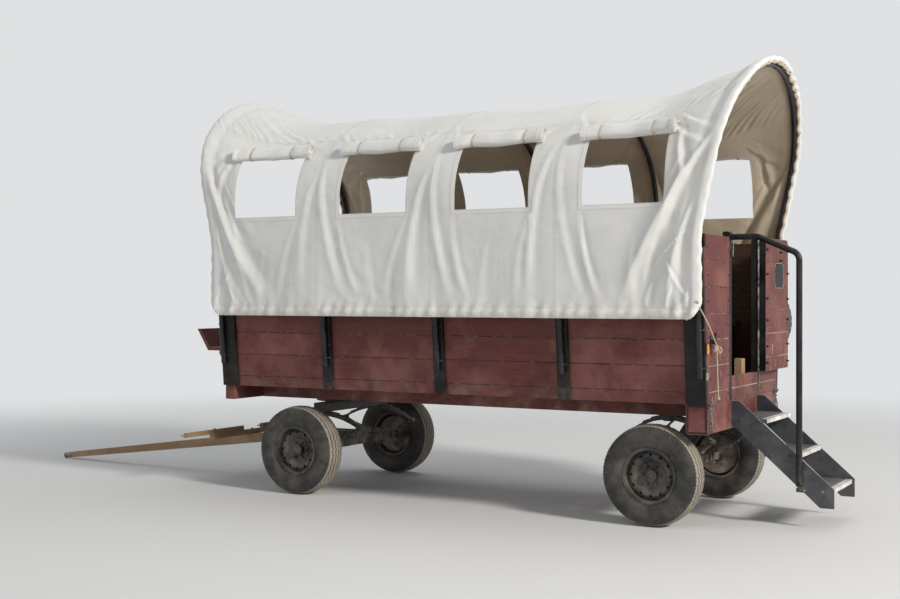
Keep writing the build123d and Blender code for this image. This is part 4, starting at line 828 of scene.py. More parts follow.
def cover_columns():
    """Places along the cover with lines at the bows and at the windows' edges."""
    half = WINDOW_WIDTH / 2
    marks, counts = [-END_OVERHANG + LIP], []
    for low, middle in zip(STATIONS, WINDOWS):
        marks += [low, middle - half, middle + half]
        counts += [4, 24, 38] if low == STATIONS[0] else [9, 9, 24]
    marks += [STATIONS[-1], BOX_LENGTH + END_OVERHANG - LIP]
    counts += [20, 4]
    columns = []
    for count, low, high in zip(counts, marks, marks[1:]):
        columns.extend(np.linspace(low, high, count, endpoint=False))
    return np.array(columns + [marks[-1]])


def scallops(along, seed):
    """Gathers of a drawn edge, from 0 to 1."""
    uneven = along * 9.0 + 0.35 * ripple(along, seed, 3, 0.5, 2.0)
    return np.abs(np.sin(math.pi * uneven)) * (0.75 + 0.25 * ripple(along, seed + 1, 3, 1.0, 3.0))


ROW_COUNTS = (7, 1, 29, 23, 15, 44)


def cover_half(side):
    """Points of one half of the cover: rows from the hem to the ridge, columns from the rear to the front."""
    base = cover_columns()
    shares = [(band, i / count) for band, count in enumerate(ROW_COUNTS) for i in range(count)]
    shares.append((len(ROW_COUNTS) - 1, 1.0))
    near = END_OVERHANG - LIP
    rear, front = (np.clip(1 - (far + near) / (near + EDGE_REACH), 0, 1) for far in (base, BOX_LENGTH - base))
    x = np.tile(base, (len(shares), 1))
    for _ in range(4):
        hem = down_to(x, HEM)
        limits = [hem, hem - HEM_BAND, hem - HEM_BAND - 0.0015, down_to(x, WINDOW_LOW),
                  down_to(x, WINDOW_HIGH), np.full_like(x, SEAM_BELOW_RIDGE), np.zeros_like(x)]
        down = np.empty_like(x)
        for i, (band, share) in enumerate(shares):
            down[i] = limits[band][i] + (limits[band + 1][i] - limits[band][i]) * share
        z = arch(ridge_at(x), down)[1]
        share = np.clip((HEM + CORNER_CUT - z) / CORNER_CUT, 0, 1)
        inwards = CORNER_CUT * (0.35 * share + 0.65 * (1 - np.sqrt(1 - share ** 2))) - end_lean(z)
        gather = EDGE_GATHER * scallops(down, 3 + side)
        x = base + (inwards + gather * rear ** 6) * rear - (inwards + gather * front ** 6) * front
    return x, down


def bend_along(points, way):
    """How much a grid of points bends along its diagonals, that rise or fall with the columns."""
    wide = np.pad(points, ((1, 1), (1, 1), (0, 0)), mode="edge")
    after = wide[2:, 2:] if way > 0 else wide[2:, :-2]
    before = wide[:-2, :-2] if way > 0 else wide[:-2, 2:]
    return np.linalg.norm(after + before - 2 * points, axis=2)


def rolled_half(side):
    """One half of the cover with its rolled ends: its points, and where each lies on the flat cloth."""
    x, down = cover_half(side)
    points, normals = cloth_point(x, down, side)
    lips = []
    for column, inward in ((0, 1), (-1, -1)):
        here = points[:, column]
        out = here - points[:, column + inward]
        out /= np.linalg.norm(out, axis=1, keepdims=True)
        size = LIP * (0.72 + 0.30 * scallops(down[:, column], 3 + side))[:, None]
        turns = [math.radians(angle) for angle in LIP_TURNS]
        lips.append([here + size * (normals[:, column] * (math.cos(turn) - 1) + out * math.sin(turn))
                     for turn in turns])
    pad = len(LIP_TURNS)
    rows = np.concatenate([np.stack(lips[0][::-1], 1), points, np.stack(lips[1], 1)], axis=1)
    flat = np.concatenate([x[:, :1] - np.linspace(pad, 1, pad) * 0.012, x,
                           x[:, -1:] + np.linspace(1, pad, pad) * 0.012], axis=1)
    return rows, flat, np.pad(down, ((0, 0), (pad, pad)), mode="edge")


def cover():
    """The whole cover as one sheet with rolled, gathered ends and its side windows left open."""
    (left, left_x, left_down), (right, right_x, right_down) = (rolled_half(side) for side in SIDES)
    crest = (left[-1] + right[-1]) / 2
    points = np.concatenate([left[:-1], crest[None], right[-2::-1]])
    along = np.concatenate([left_x, right_x[-2::-1]])
    across = np.concatenate([-left_down, right_down[-2::-1]])
    rows, columns = along.shape
    base = np.pad(cover_columns(), (len(LIP_TURNS),) * 2, mode="edge")
    half = WINDOW_WIDTH / 2 + 1e-4
    window_rows = range(sum(ROW_COUNTS[:3]), sum(ROW_COUNTS[:4]))
    open_columns = [j for j in range(columns - 1) for middle in WINDOWS
                    if middle - half < base[j] and base[j + 1] < middle + half]
    holes = {(row, j) for j in open_columns for i in window_rows for row in (i, rows - 2 - i)}
    rising, falling = bend_along(points, 1), bend_along(points, -1)
    faces = []
    for i, j in product(range(rows - 1), range(columns - 1)):
        if (i, j) in holes:
            continue
        a, b, c, d = i * columns + j, (i + 1) * columns + j, (i + 1) * columns + j + 1, i * columns + j + 1
        if rising[i:i + 2, j:j + 2].sum() < falling[i:i + 2, j:j + 2].sum():
            faces += [(a, b, c), (a, c, d)]
        else:
            faces += [(a, b, d), (b, c, d)]
    used = sorted({v for face in faces for v in face})
    order = {v: k for k, v in enumerate(used)}
    form = (points.reshape(-1, 3)[used], [tuple(order[v] for v in face) for face in faces])
    piece = made("canvas_cover_sheet", [form], "canvas_outside canvas_inside", "canvas", smooth=180)
    places = np.stack([along.reshape(-1)[used], across.reshape(-1)[used]], axis=1)
    loops = np.empty(len(piece.data.loops), int)
    piece.data.loops.foreach_get("vertex_index", loops)
    layer = piece.data.uv_layers.new(name="cloth")
    layer.data.foreach_set("uv", places[loops].astype(np.float32).ravel())
    thick = piece.modifiers.new("cloth", "SOLIDIFY")
    thick.thickness = CLOTH
    thick.offset = 0.0
    # inner faces take the second finish, whose tan is painted shade and painted light through the cloth
    thick.material_offset = 1
    thick.material_offset_rim = 0
    graph = bpy.context.evaluated_depsgraph_get()
    mesh = bpy.data.meshes.new_from_object(piece.evaluated_get(graph))
    piece.modifiers.clear()
    piece.data = mesh
    mesh.set_sharp_from_angle(angle=math.radians(SHARP_FOLD))
    return piece


# Gathered casing inside each rolled end
CASING, CASING_SWELL, CASING_STEP = 0.0055, 0.0075, 0.008


def distances(line):
    """How far along a line each of its points is."""
    return np.concatenate([[0], np.cumsum(np.linalg.norm(np.diff(line, axis=0), axis=1))])


def read_at(places, run, values):
    """Points or directions along a line, read at other distances."""
    return np.stack([np.interp(places, run, values[:, k]) for k in range(3)], axis=1)


def gathered_casing():
    """The gathered casing, with the swellings of the cord that draws it."""
    forms = []
    for end, column, inward in ((0, 0, 0.006), (1, -1, -0.006)):
        path, into = [], []
        for side in SIDES:
            points, normals = cloth_point(*cover_half(side), side)
            here = points[:, column] - normals[:, column] * (2 * LIP - 0.002)
            here[:, 0] += inward
            path.append(here)
            into.append(-normals[:, column])
        line = np.concatenate([path[0], path[1][-2::-1]])
        ways = np.concatenate([into[0], into[1][-2::-1]])
        run = distances(line)
        places = np.arange(0, run[-1], CASING_STEP)
        even, ways = read_at(places, run, line), read_at(places, run, ways)
        luck = random.Random(77 + end)
        pitch, sizes = 0.0, []
        for k in range(len(even)):
            pitch += luck.uniform(0.5, 1.6)
            sizes.append(CASING + CASING_SWELL * abs(math.sin(pitch)) * luck.uniform(0.5, 1.0))
            even[k] += ways[k] * 0.004 * math.sin(k * 0.37) + ways[k] * 0.004
        forms.append(tube(even, sizes, 8))
    # the casing's brown finish is painted shade in the gathers
    made("canvas_gathered_casing", forms, "canvas_gathers", "canvas", smooth=60)


# Window flaps, each rolled up and tied over its window
ROLL, ROLL_TALL, ROLL_DEPTH, ROLL_SEATED, ROLL_SQUARE = 0.043, 1.42, 0.80, 0.95, 0.72
ROLL_RINGS, ROLL_PLACES, ROLL_PAST_WINDOW, ROLL_ABOVE = 32, 46, 0.055, 0.028
SPIRAL_POINTS, SPIRAL_TURNS, SPIRAL_THICK, SPIRAL_WIDE = 120, 2.3, 0.0042, 0.019
FLAP, FLAP_ROWS, FLAP_THICK = 0.028, 8, 0.0022
TIE, STRAP_THICK, STRAP_WIDE = 0.56, 0.002, 0.020
ROLL_SEAM_POINTS, ROLL_SEAM_THICK, ROLL_SEAM_WIDE = 48, 0.0012, 0.0016
BINDING, BINDING_LIFT, BINDING_STEPS = 0.040, 0.0012, (4, 26)
STITCH, STITCH_PITCH, THREAD = 0.0065, 0.011, 0.0012
BINDING_ROWS = (0.006, 0.034)


def flap_sheet(xs, middle, half, side, place, sizes, normals):
    """The flap between its sewn top and its roll, closed all round, its ends laid down on the cloth."""
    rows, columns = FLAP_ROWS, len(xs)
    from_end = half - np.abs(xs - middle)
    flap = []
    for share in np.linspace(0, 1, rows):
        line, line_normals = cloth_point(xs, place - FLAP * (1 - share), side, CLOTH / 2 + 0.0016)
        swell = sizes * ROLL_DEPTH * ROLL_SEATED * soft_step(share, 0.0, 1.05)
        swell = swell * soft_step(from_end, 0.004, 0.040)
        flap.append(line + line_normals * swell[:, None])
    points = np.concatenate(flap)
    under = points - np.tile(normals, (rows, 1)) * FLAP_THICK
    count = len(points)
    faces = grid_faces(rows, columns)
    back = [tuple(v + count for v in face[::-1]) for face in faces]
    border = [(i, i + 1) for i in range(columns - 1)]
    border += [((j + 1) * columns - 1, (j + 2) * columns - 1) for j in range(rows - 1)]
    border += [(count - 1 - i, count - 2 - i) for i in range(columns - 1)]
    border += [(j * columns, (j - 1) * columns) for j in range(rows - 1, 0, -1)]
    return list(points) + list(under), faces + back + [(b, a, a + count, b + count) for a, b in border]


def window_roll(side, middle, luck):
    """A sewn flap with its roll's open ends, its two straps and its seams, as three lists of forms."""
    half = WINDOW_WIDTH / 2 + ROLL_PAST_WINDOW
    xs = np.linspace(middle - half, middle + half, ROLL_PLACES)
    last = len(xs) - 1
    shares = (xs - middle) / half
    top = down_to(xs, WINDOW_HIGH) - ROLL_ABOVE
    seed = luck.randrange(1000)
    ties = [place + luck.uniform(-0.05, 0.05) for place in (-TIE, TIE)]
    pinch = sum(bell(shares - tie, 0.07) for tie in ties)
    droop = 0.022 * np.clip(shares * (-1 if luck.random() < 0.5 else 1) - 0.3, 0, 1) ** 1.5
    skew = luck.uniform(-0.4, 0.4)
    sag = 0.008 * (1 - np.abs(np.sin(shares * 2.8))) + 0.003 * ripple(xs, seed, 4, 0.6, 2.5) + droop
    sizes = ROLL * (1 - 0.07 * pinch + 0.03 * ripple(xs, seed + 1, 5, 1.0, 5.0))
    seat, normals = cloth_point(xs, top, side, CLOTH / 2 + 0.001)
    seat = (seat[:-2] + seat[1:-1] + seat[2:]) / 3
    seat = np.concatenate([seat[:1] * 2 - seat[1:2], seat, seat[-1:] * 2 - seat[-2:-1]])
    outs = [Vector(normal).normalized() for normal in normals]
    falls = [Vector((side, 0, 0)).cross(out) for out in outs]
    falls = [fall if fall.z < 0 else -fall for fall in falls]
    centres = [Vector(place) + out * size * ROLL_DEPTH * ROLL_SEATED + fall * down
               for place, out, size, fall, down in zip(seat, outs, sizes, falls, sag)]

    def around(i, turn, size):
        wrinkle = 1 + 0.012 * math.sin(3 * turn + i * 0.23) + 0.014 * math.sin(6 * turn - i * 0.31 + seed)
        near, down = (math.copysign(abs(part) ** ROLL_SQUARE, part)
                      for part in (math.cos(turn), math.sin(turn)))
        down *= size * ROLL_TALL * wrinkle
        return centres[i] - outs[i] * (near * size * ROLL_DEPTH) + falls[i] * down

    def ring(i, size, count=ROLL_RINGS):
        return [around(i, TURN * k / count, size) for k in range(count)]

    verts = [vert for i in range(last + 1) for vert in ring(i, sizes[i])]
    cloth = [(verts, grid_faces(last + 1, ROLL_RINGS, True))]
    for i, inward in ((0, 1), (last, -1)):
        spiral = [around(i, skew + share * SPIRAL_TURNS * TURN, sizes[i] * (0.97 - 0.74 * share))
                  + Vector((inward * 0.008, 0, 0)) for share in np.linspace(0, 1, SPIRAL_POINTS)]
        cloth.append(ribbon(spiral, SPIRAL_THICK, SPIRAL_WIDE))
        plug = [spot + Vector((inward * 0.015, 0, 0)) for spot in ring(i, sizes[i] * 0.96)]
        cloth.append((plug, [tuple(range(ROLL_RINGS))[::-inward]]))
    cloth.append(flap_sheet(xs, middle, half, side, top + sag - sizes * ROLL_TALL * 0.93, sizes, normals))
    straps, seams = [], []
    for tie in ties:
        i = int(np.argmin(np.abs(shares - tie)))
        loop = [around(i, math.radians(-70 + 320 * k / 35), sizes[i] * 1.05 + 0.001) for k in range(36)]
        tail = [loop[-1] + falls[i] * 0.014 * k + outs[i] * 0.001 * k for k in (1, 2)]
        straps.append(ribbon(loop + tail, STRAP_THICK, STRAP_WIDE))
    for i in (1, 3, last - 3, last - 1):
        loop = ring(i, sizes[i] + 0.0004, ROLL_SEAM_POINTS)
        for one, two in zip(loop[::2], loop[1::2]):
            seams.append(ribbon([one, (one + two) / 2, two], ROLL_SEAM_THICK, ROLL_SEAM_WIDE))
    return cloth, straps, seams


def window_rolls(side):
    luck = random.Random(13 + side)
    rolls = [window_roll(side, middle, luck) for middle in WINDOWS]
    cloth, straps, seams = (sum(forms, []) for forms in zip(*rolls))
    made(f"window_flaps_{SIDES[side]}", cloth, "canvas_edge", "canvas", smooth=50)
    made(f"window_straps_{SIDES[side]}", straps, "webbing", "canvas", smooth=40)
    made(f"window_seams_{SIDES[side]}", seams, "stitching", "canvas", smooth=80)


def window_binding(side):
    """The doubled strip sewn round each window opening."""
    forms = []
    bands, steps = BINDING_STEPS
    for middle in WINDOWS:
        half = WINDOW_WIDTH / 2
        bottom, top = down_to(middle, WINDOW_LOW), down_to(middle, WINDOW_HIGH)
        signs = ((-1, 1), (1, 1), (1, -1), (-1, -1))
        inner = np.array([(sx * half, top if sd < 0 else bottom) for sx, sd in signs])
        outer = inner + BINDING * np.array(signs)
        for i in range(4):
            j = (i + 1) % 4
            sheet = []
            for a in range(bands + 1):
                start, end = (inner[k] + (outer[k] - inner[k]) * (a / bands) for k in (i, j))
                xs, down = (start + (end - start) * np.linspace(0, 1, steps + 1)[:, None]).T
                xs = middle + xs
                down = down + down_to(xs, WINDOW_LOW) - bottom
                lift = BINDING_LIFT if 0 < a < bands else 0.0003
                sheet.append(cloth_point(xs, down, side, CLOTH / 2 + lift)[0])
            forms.append((list(np.concatenate(sheet)), grid_faces(bands + 1, steps + 1)))
    made(f"window_binding_{SIDES[side]}", forms, "canvas_edge", "canvas", smooth=60)


def stitch_row(x0, down0, x1, down1, side, lift=0.0):
    """Short raised threads, each a flat-sided bead from one hole to the next."""
    a, normal = cloth_point(x0, down0, side, CLOTH / 2 + lift)
    b = cloth_point(x1, down1, side, CLOTH / 2 + lift)[0]
    across = np.cross(b - a, normal)
    across /= np.linalg.norm(across, axis=1, keepdims=True)
    crest = (a + b) / 2 + normal * THREAD
    beads = zip(a, crest + across * THREAD, b, crest - across * THREAD)
    return [(list(verts), [(0, 1, 2, 3)]) for verts in beads]


def stitch_lines(corners, side, lift=0.0, middle=None):
    """Stitches along straight lines from corner to corner; about a middle they follow the window's slope."""
    forms = []
    for (x0, down0), (x1, down1) in zip(corners, corners[1:]):
        steps = np.arange(0, 0.999, STITCH_PITCH / math.hypot(x1 - x0, down1 - down0))
        places = []
        for share in (steps, steps + STITCH / STITCH_PITCH * (steps[1] - steps[0])):
            x = x0 + (x1 - x0) * share
            down = down0 + (down1 - down0) * share
            if middle is not None:
                down = down + down_to(x, WINDOW_LOW) - down_to(middle, WINDOW_LOW)
            places += [x, down]
        forms.extend(stitch_row(*places, side, lift))
    return forms


def seam_stitches():
    """Brown thread along the hem band, the seams, the windows' strips and the box stitches."""
    forms = []
    on_hem = (0.30, BOX_LENGTH - 0.30, *STATIONS[1:-1])
    squares = [(x, down, 0.016) for x, down in GROMMETS]
    squares += [(x, down_to(x, HEM) - HEM_BAND / 2, 0.021) for x in on_hem]
    starts = np.arange(0.12, BOX_LENGTH - 0.12, STITCH_PITCH)
    ends = starts + STITCH
    for side in SIDES:
        for above in (0.010, HEM_BAND - 0.006):
            forms += stitch_row(starts, down_to(starts, HEM) - above, ends, down_to(ends, HEM) - above, side)
        for off in (-0.009, 0.009):
            down = np.full_like(starts, SEAM_BELOW_RIDGE + off)
            forms += stitch_row(starts, down, ends, down, side)
        for x in (station + off for station in STATIONS[1:-1] for off in (-0.008, 0.008)):
            downs = np.arange(0.02, down_to(x, HEM) - 0.012, STITCH_PITCH)
            xs = np.full_like(downs, x)
            forms += stitch_row(xs, downs, xs, downs + STITCH, side)
        for x, down, half in squares:
            turned = ((-1, -1), (1, -1), (1, 1), (-1, 1), (-1, -1), (1, 1))
            forms += stitch_lines([(x + a * half, down + b * half) for a, b in turned], side)
        for middle, gap in product(WINDOWS, BINDING_ROWS):
            half = WINDOW_WIDTH / 2 + gap
            top, bottom = down_to(middle, WINDOW_HIGH) - gap, down_to(middle, WINDOW_LOW) + gap
            left, right = middle - half, middle + half
            corners = [(left, top), (left, bottom), (right, bottom), (right, top)]
            forms += stitch_lines(corners, side, BINDING_LIFT, middle)
    made("canvas_stitches", forms, "stitching", "canvas", smooth=80)


# Rope tie at the left rear corner
ROPE, ROPE_STEP, ROPE_LAY, STRAND = 0.010, 0.003, 0.034, 0.27
CLEAT = (-0.034, 0.800)
ROPE_START = (0.016, HEM + 0.115)
CLEAT_TOP = 1.307
KNOT, KNOT_BELOW, KNOT_TALL = 0.003906, 0.014, 0.0075
TAIL_ROUTE = [(-0.044, 1.258), (-0.044, 1.214), (-0.049, 1.150), (-0.048, 1.080), (-0.053, 1.010),
              (-0.055, 0.950)]


def smooth_line(points, resolution=12):
    """Points read from a smooth line whose control points are given."""
    curve = bpy.data.curves.new("route", "CURVE")
    curve.dimensions = "3D"
    curve.resolution_u = resolution
    spline = curve.splines.new("NURBS")
    spline.points.add(len(points) - 1)
    for knot, point in zip(spline.points, points):
        knot.co = (*point, 1.0)
    spline.order_u = 3
    spline.use_endpoint_u = True
    holder = bpy.data.objects.new("route", curve)
    bpy.context.scene.collection.objects.link(holder)
    bpy.context.view_layer.update()
    mesh = bpy.data.meshes.new_from_object(holder)
    line = [v.co.copy() for v in mesh.vertices]
    bpy.data.objects.remove(holder)
    bpy.data.curves.remove(curve)
    bpy.data.meshes.remove(mesh)
    return line


def laid(line, diameter=ROPE):
    """Three strands twisted round a line."""
    line = np.array([tuple(p) for p in line])
    run = distances(line)
    places = np.linspace(0, run[-1], max(2, int(run[-1] / ROPE_STEP)) + 1)
    points = [Vector(p) for p in read_at(places, run, line)]
    strand = diameter * STRAND
    forms = []
    for k in range(3):
        path = [round_path(here, sides, TURN * (i * ROPE_STEP / ROPE_LAY + k / 3), diameter / 2 - strand)
                for i, (here, sides) in enumerate(zip(points, frames_along(points)))]
        forms.append(tube(path, strand, 7))
    return joined(forms)


def wave_on(centre, angle, x, y, z):
    """A place that goes round a centre as x cos, y sin and z sin of an angle."""
    return centre + Vector((x * math.cos(angle), y * math.sin(angle), z * math.sin(angle)))


def rope_pieces():
    """The tie: a taut run from the cover's corner, turns on the cleat, a hanging tail and its end knot."""
    x, z = ROPE_START
    corner = Vector(cloth_point([x], [down_to(x, z)], 1)[0][0]) + Vector((0, 0.002, 0))
    horn = at(*CLEAT, CLEAT_TOP)
    first = horn + Vector((-0.012, 0.014, -0.001))
    run = [corner + (first - corner) * t + Vector((-0.012, 0, -0.004)) * math.sin(math.pi * t)
           for t in np.linspace(0, 1, 24)]
    ring = [wave_on(corner, angle, 0.010, 0.008, 0.010) for angle in np.linspace(0, TURN, 16)]
    made("rope_run", [laid(run), laid(ring, ROPE * 0.9)], "rope", "rope", smooth=70)
    turns, cross, bight = [], [], []
    for share in np.linspace(0, 1, 150):
        angle = share * 5 * TURN
        size = 0.0145 + 0.0015 * math.sin(angle * 0.37)
        turns.append(wave_on(horn, angle, size, size, 0) - Vector((0, 0, 0.043 * share)))
    for share in np.linspace(0, 1, 60):
        drop = Vector((0, 0, 0.007 + 0.034 * math.sin(share * math.pi)))
        cross.append(wave_on(horn, -0.9 + share * 5.2, 0.0185, 0.0185, 0) - drop)
    for angle in np.linspace(0, TURN, 40):
        bight.append(horn - Vector((0.026 + 0.010 * math.sin(angle), 0.010 + 0.017 * math.sin(angle) ** 2,
                                    0.035 + 0.022 * math.cos(angle))))
    hitch = made("rope_turns", [laid(turns), laid(cross), laid(bight, ROPE * 0.9)], "rope", "rope", smooth=70)
    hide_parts("rope_hitch")
    line = smooth_line([at(x, CLEAT[1], z) for x, z in TAIL_ROUTE])
    tail = made("rope_tail_strands", [laid(line)], "rope", "rope", smooth=70)
    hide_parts("rope_tail")
    end = at(TAIL_ROUTE[-1][0], CLEAT[1], TAIL_ROUTE[-1][1])
    knot = []
    for angle in np.linspace(0, TURN, 120):
        size = KNOT * (2 + math.cos(3 * angle))
        drop = Vector((0, 0, KNOT_BELOW - KNOT_TALL * math.sin(3 * angle)))
        knot.append(wave_on(end, 2 * angle, size, size, 0) - drop)
    knot_piece = made("rope_end_knot_turns", [laid(knot, ROPE * 0.8)], "rope", "rope", smooth=70)
    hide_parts("rope_end_knot")


# Tyres
TYRE_STEPS, TREAD_PERIOD, NOTCH_PERIOD = 240, 6, 3
GROOVES, GROOVE_HALF, GROOVE_WALL = (0.056, 0.019, -0.019, -0.056), 0.0042, 0.0012
GROOVE_DEPTH, ZIGZAG, SIPE, NOTCH = 0.009, 0.0055, 0.0035, 0.005
SHOULDER_DROP, SHOULDER_SHARE, BEAD_HALF, BEAD_DROP, SIDE_RINGS = 0.013, 0.8, 0.0835, 0.012, 0.0008


def tyre(name, node, body, finish):
    """A road tyre with zigzag ribs, notched shoulders and ringed sidewalls, turned about its axle."""
    low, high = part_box(node)
    rim_low, rim_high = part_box(node.replace("tyre", "wheel"))
    centre = (low + high) / 2
    outer, half = (high.z - low.z) / 2, (high.y - low.y) / 2
    lip = (rim_high.z - rim_low.z) / 2 + 0.0005
    shoulder, shoulder_half = outer - SHOULDER_DROP, half * SHOULDER_SHARE
    # each line of the profile: radius, y, how deep it is sunk, share of the zigzag, and whether it is notched
    wall = []
    for share in np.linspace(0, 1, 13):
        wide = BEAD_HALF + (shoulder_half - BEAD_HALF) * share
        belly = math.sin(math.pi * share) ** 0.8 * (half - wide)
        ringed = SIDE_RINGS * math.cos(share * 40) if 0.15 < share < 0.75 else 0.0
        wall.append((lip + (shoulder - lip) * share, wide + belly + ringed, 0.0, 0.0, share > 0.8))
    crown = []
    for groove in GROOVES:
        for edge, sunk in ((GROOVE_HALF, 0.0), (GROOVE_HALF - GROOVE_WALL, GROOVE_DEPTH),
                           (GROOVE_WALL - GROOVE_HALF, GROOVE_DEPTH), (-GROOVE_HALF, 0.0)):
            y = groove + edge
            crown.append((outer - SHOULDER_DROP * (y / shoulder_half) ** 2, y, sunk, 1.0, False))
    other_wall = [(r, -y, sunk, zigzag, notch) for r, y, sunk, zigzag, notch in reversed(wall)]
    inside = [(lip - BEAD_DROP, y, 0.0, 0.0, False) for y in (-BEAD_HALF, BEAD_HALF)]
    profile = wall + crown + other_wall + inside
    verts = []
    for i in range(TYRE_STEPS):
        turn = TURN * i / TYRE_STEPS
        wave = ZIGZAG * (4 * abs((i % TREAD_PERIOD) / TREAD_PERIOD - 0.5) - 1)
        for radius, y, sunk, zigzag, notch in profile:
            radius -= sunk
            if zigzag and not sunk and i % TREAD_PERIOD == 0:
                radius -= SIPE
            if notch and i % NOTCH_PERIOD == 0:
                radius -= NOTCH
            y += wave * zigzag
            verts.append(centre + Vector((radius * math.sin(turn), y, radius * math.cos(turn))))
    faces = []
    count = len(profile)
    for i, j in product(range(TYRE_STEPS), range(count)):
        k, m = (i + 1) % TYRE_STEPS, (j + 1) % count
        faces.append((i * count + j, k * count + j, k * count + m, i * count + m))
    piece = made(name, [(verts, faces)], finish, "tyre_rubber", body, 38)
    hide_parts(node)


# Fittings
CARRIAGE_BOLT = (0.0105, 0.006)
WALL_EDGE, JAMB = 0.030, 0.380
DOOR_NUT, DOOR_BOLT_INSET, DOOR_TOP_BOLTS = (0.0098, 0.0085, 0.0048), 0.026, (0.56, 0.90)
PLATE, PLATE_FROM_HINGE, PLATE_BELOW_TOP, PLATE_NOTCH, PLATE_RIM = (0.250, 0.200), 0.57, 0.286, 0.016, 0.0045
PLATE_SKIN, PLATE_PANEL, PLATE_PROUD, PLATE_SCREW_INSET = 0.0004, 0.0018, 0.0026, 0.024
HINGE_SCREWS = 9
CLAMP_HEIGHTS, BOW_PIPE, CLAMP_ROD = (1.150, 1.415), 0.021, 0.0042
LOWEST_BOLT, BOX_FLOOR = 0.935, 0.890
POST_BOLT, END_POST_BOLT, FRONT_BOLTS = 0.032, 0.118, (-0.86, -0.30, 0.30, 0.86)
REFLECTOR_Z, CORNER_PLATE_Z, REFLECTOR_INSET = 1.280, 1.090, 0.004
BEAM_RIM, BEAM_RIM_PROUD, BEAM_RIM_INSET, IRON_FROM_END, IRON_THICK = 0.012, 0.003, 0.006, 0.050, 0.005
STEP_COUNT, STEP_GOING, STEP_RISE, STRINGER = 3, 0.230, 0.240, 0.006
TREAD_REACH, TREAD_DEPTH, FIRST_TREAD_Z, TREAD_RIBS, RIB_PITCH = 0.010, 0.250, 0.280, 9, 0.0215
SPRING_Y, SPRING_HALF_WIDTH, SPRING_EYE = 0.430, 0.030, 0.018
UBOLT_X, UBOLT_Y, UBOLT_ROD, UBOLT_BEND, SADDLE_RISE = 0.044, 0.041, 0.006, 0.012, 0.052
HANGER_X = 0.395
BLOCK_LOW, BLOCK_HIGH = (0.096, -0.326), (0.156, -0.240, 1.165)
RAIL_PLATE_Z, RAIL_FOOT_X = 2.080, -0.500
VALVE_RADIUS, VALVE_DEPTH, VALVE_STEM, VALVE_CAP = 0.155, 0.045, 0.0042, 0.0052
DRUM, DRUM_RADIUS = (-0.050, 0.018), 0.165


def door_fittings():
    """Bolts down both edges of the door and in its top plank, and its blank plate with a pale rim."""
    low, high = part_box("rear_door")
    face, width = low.x, high.y - low.y
    luck = random.Random(5)
    forms = []
    for i in range(int((high.z - low.z) / PLANK) + 1):
        top = high.z - i * PLANK
        bottom = max(top - PLANK, low.z)
        for y in (high.y - DOOR_BOLT_INSET, low.y + DOOR_BOLT_INSET):
            spot = (face, y + luck.uniform(-0.004, 0.004), (top + bottom) / 2 + luck.uniform(-0.012, 0.012))
            forms.append(put(nut(*DOOR_NUT, 0.008), spot, BACK, (0, luck.random(), 1)))
    for share in DOOR_TOP_BOLTS:
        forms.append(put(nut(*DOOR_NUT, 0.014), (face, high.y - 0.62 * width, high.z - share * PLANK), BACK))
    made("door_bolts", forms, "bolt_black", body="door")
    middle = Vector((face, high.y - PLATE_FROM_HINGE * width, high.z - PLATE_BELOW_TOP))

    def outline(inset, proud):
        ring = []
        for sy, sz in ((1, 1), (-1, 1), (-1, -1), (1, -1)):
            y, z = sy * (PLATE[0] / 2 - inset), sz * (PLATE[1] / 2 - inset)
            cut_y, cut_z = y - sy * PLATE_NOTCH, z - sz * PLATE_NOTCH
            ring += [(cut_y, z), (cut_y, cut_z), (y, cut_z)][::-sy * sz]
        return [middle + Vector((-proud, y, z)) for y, z in ring]

    rings = [outline(0, PLATE_SKIN), outline(0, PLATE_PROUD), outline(PLATE_RIM, PLATE_PROUD),
             outline(PLATE_RIM, PLATE_PANEL)]
    n = len(rings[0])
    bands = [(k * n + i, (k + 1) * n + i, (k + 1) * n + (i + 1) % n, k * n + (i + 1) % n)
             for k in range(3) for i in range(n)]
    made("door_plate_rim", [(sum(rings, []), bands + [tuple(range(n))[::-1]])], "zinc", body="door")
    made("door_plate", [(rings[-1], [tuple(range(n))])], "plate", body="door")
    y, z = (size / 2 - PLATE_SCREW_INSET for size in PLATE)
    spots = [middle + Vector((-PLATE_PANEL, sy * y, sz * z)) for sy, sz in SQUARE]
    screws = [put(dome(0.0050, 0.002, 10), spot, BACK) for spot in spots]
    made("door_plate_screws", screws, "zinc", body="door")


def hinge_screws():
    low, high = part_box("door_hinge_fixed")
    heights = [low.z + (i + 0.5) * (high.z - low.z) / HINGE_SCREWS for i in range(HINGE_SCREWS)]
    forms = [put(dome(0.0045, 0.002, 10), (REAR - 0.003, low.y + 0.010, z), BACK) for z in heights]
    made("hinge_screws", forms, "zinc", "hinge_steel")


def wall_way(side):
    """The way that a side wall looks."""
    return Vector((0, side * math.cos(FLARE), -math.sin(FLARE)))


def bow_clamps():
    """U-bolts that hold each bow's foot to its post, with plates and nuts."""
    forms = []
    reach = BOW_PIPE + 0.0045
    for side, x, z in product(SIDES, STATIONS, CLAMP_HEIGHTS):
        out = wall_way(side)
        up = Vector((0, side * math.sin(FLARE), math.cos(FLARE)))
        seat = at(x, side * wall_half(z, TRIM), z)
        centre = seat + out * (BOW_PIPE + 0.0003)
        feet = [seat + Vector((sign * reach, 0, 0)) - out * 0.004 for sign in (-1, 1)]
        arc = [centre + Vector((-reach * math.cos(angle), 0, 0)) + out * (reach * math.sin(angle))
               for angle in np.linspace(0, math.pi, 13)]
        forms.append(tube([feet[0], *arc, feet[1]], CLAMP_ROD, 8))
        for sign in (-1, 1):
            forms.append(put(nut(0.0085, 0.008, CLAMP_ROD), seat + Vector((sign * reach, 0, 0)), out, up))
    made("bow_clamps", forms, "black_steel")


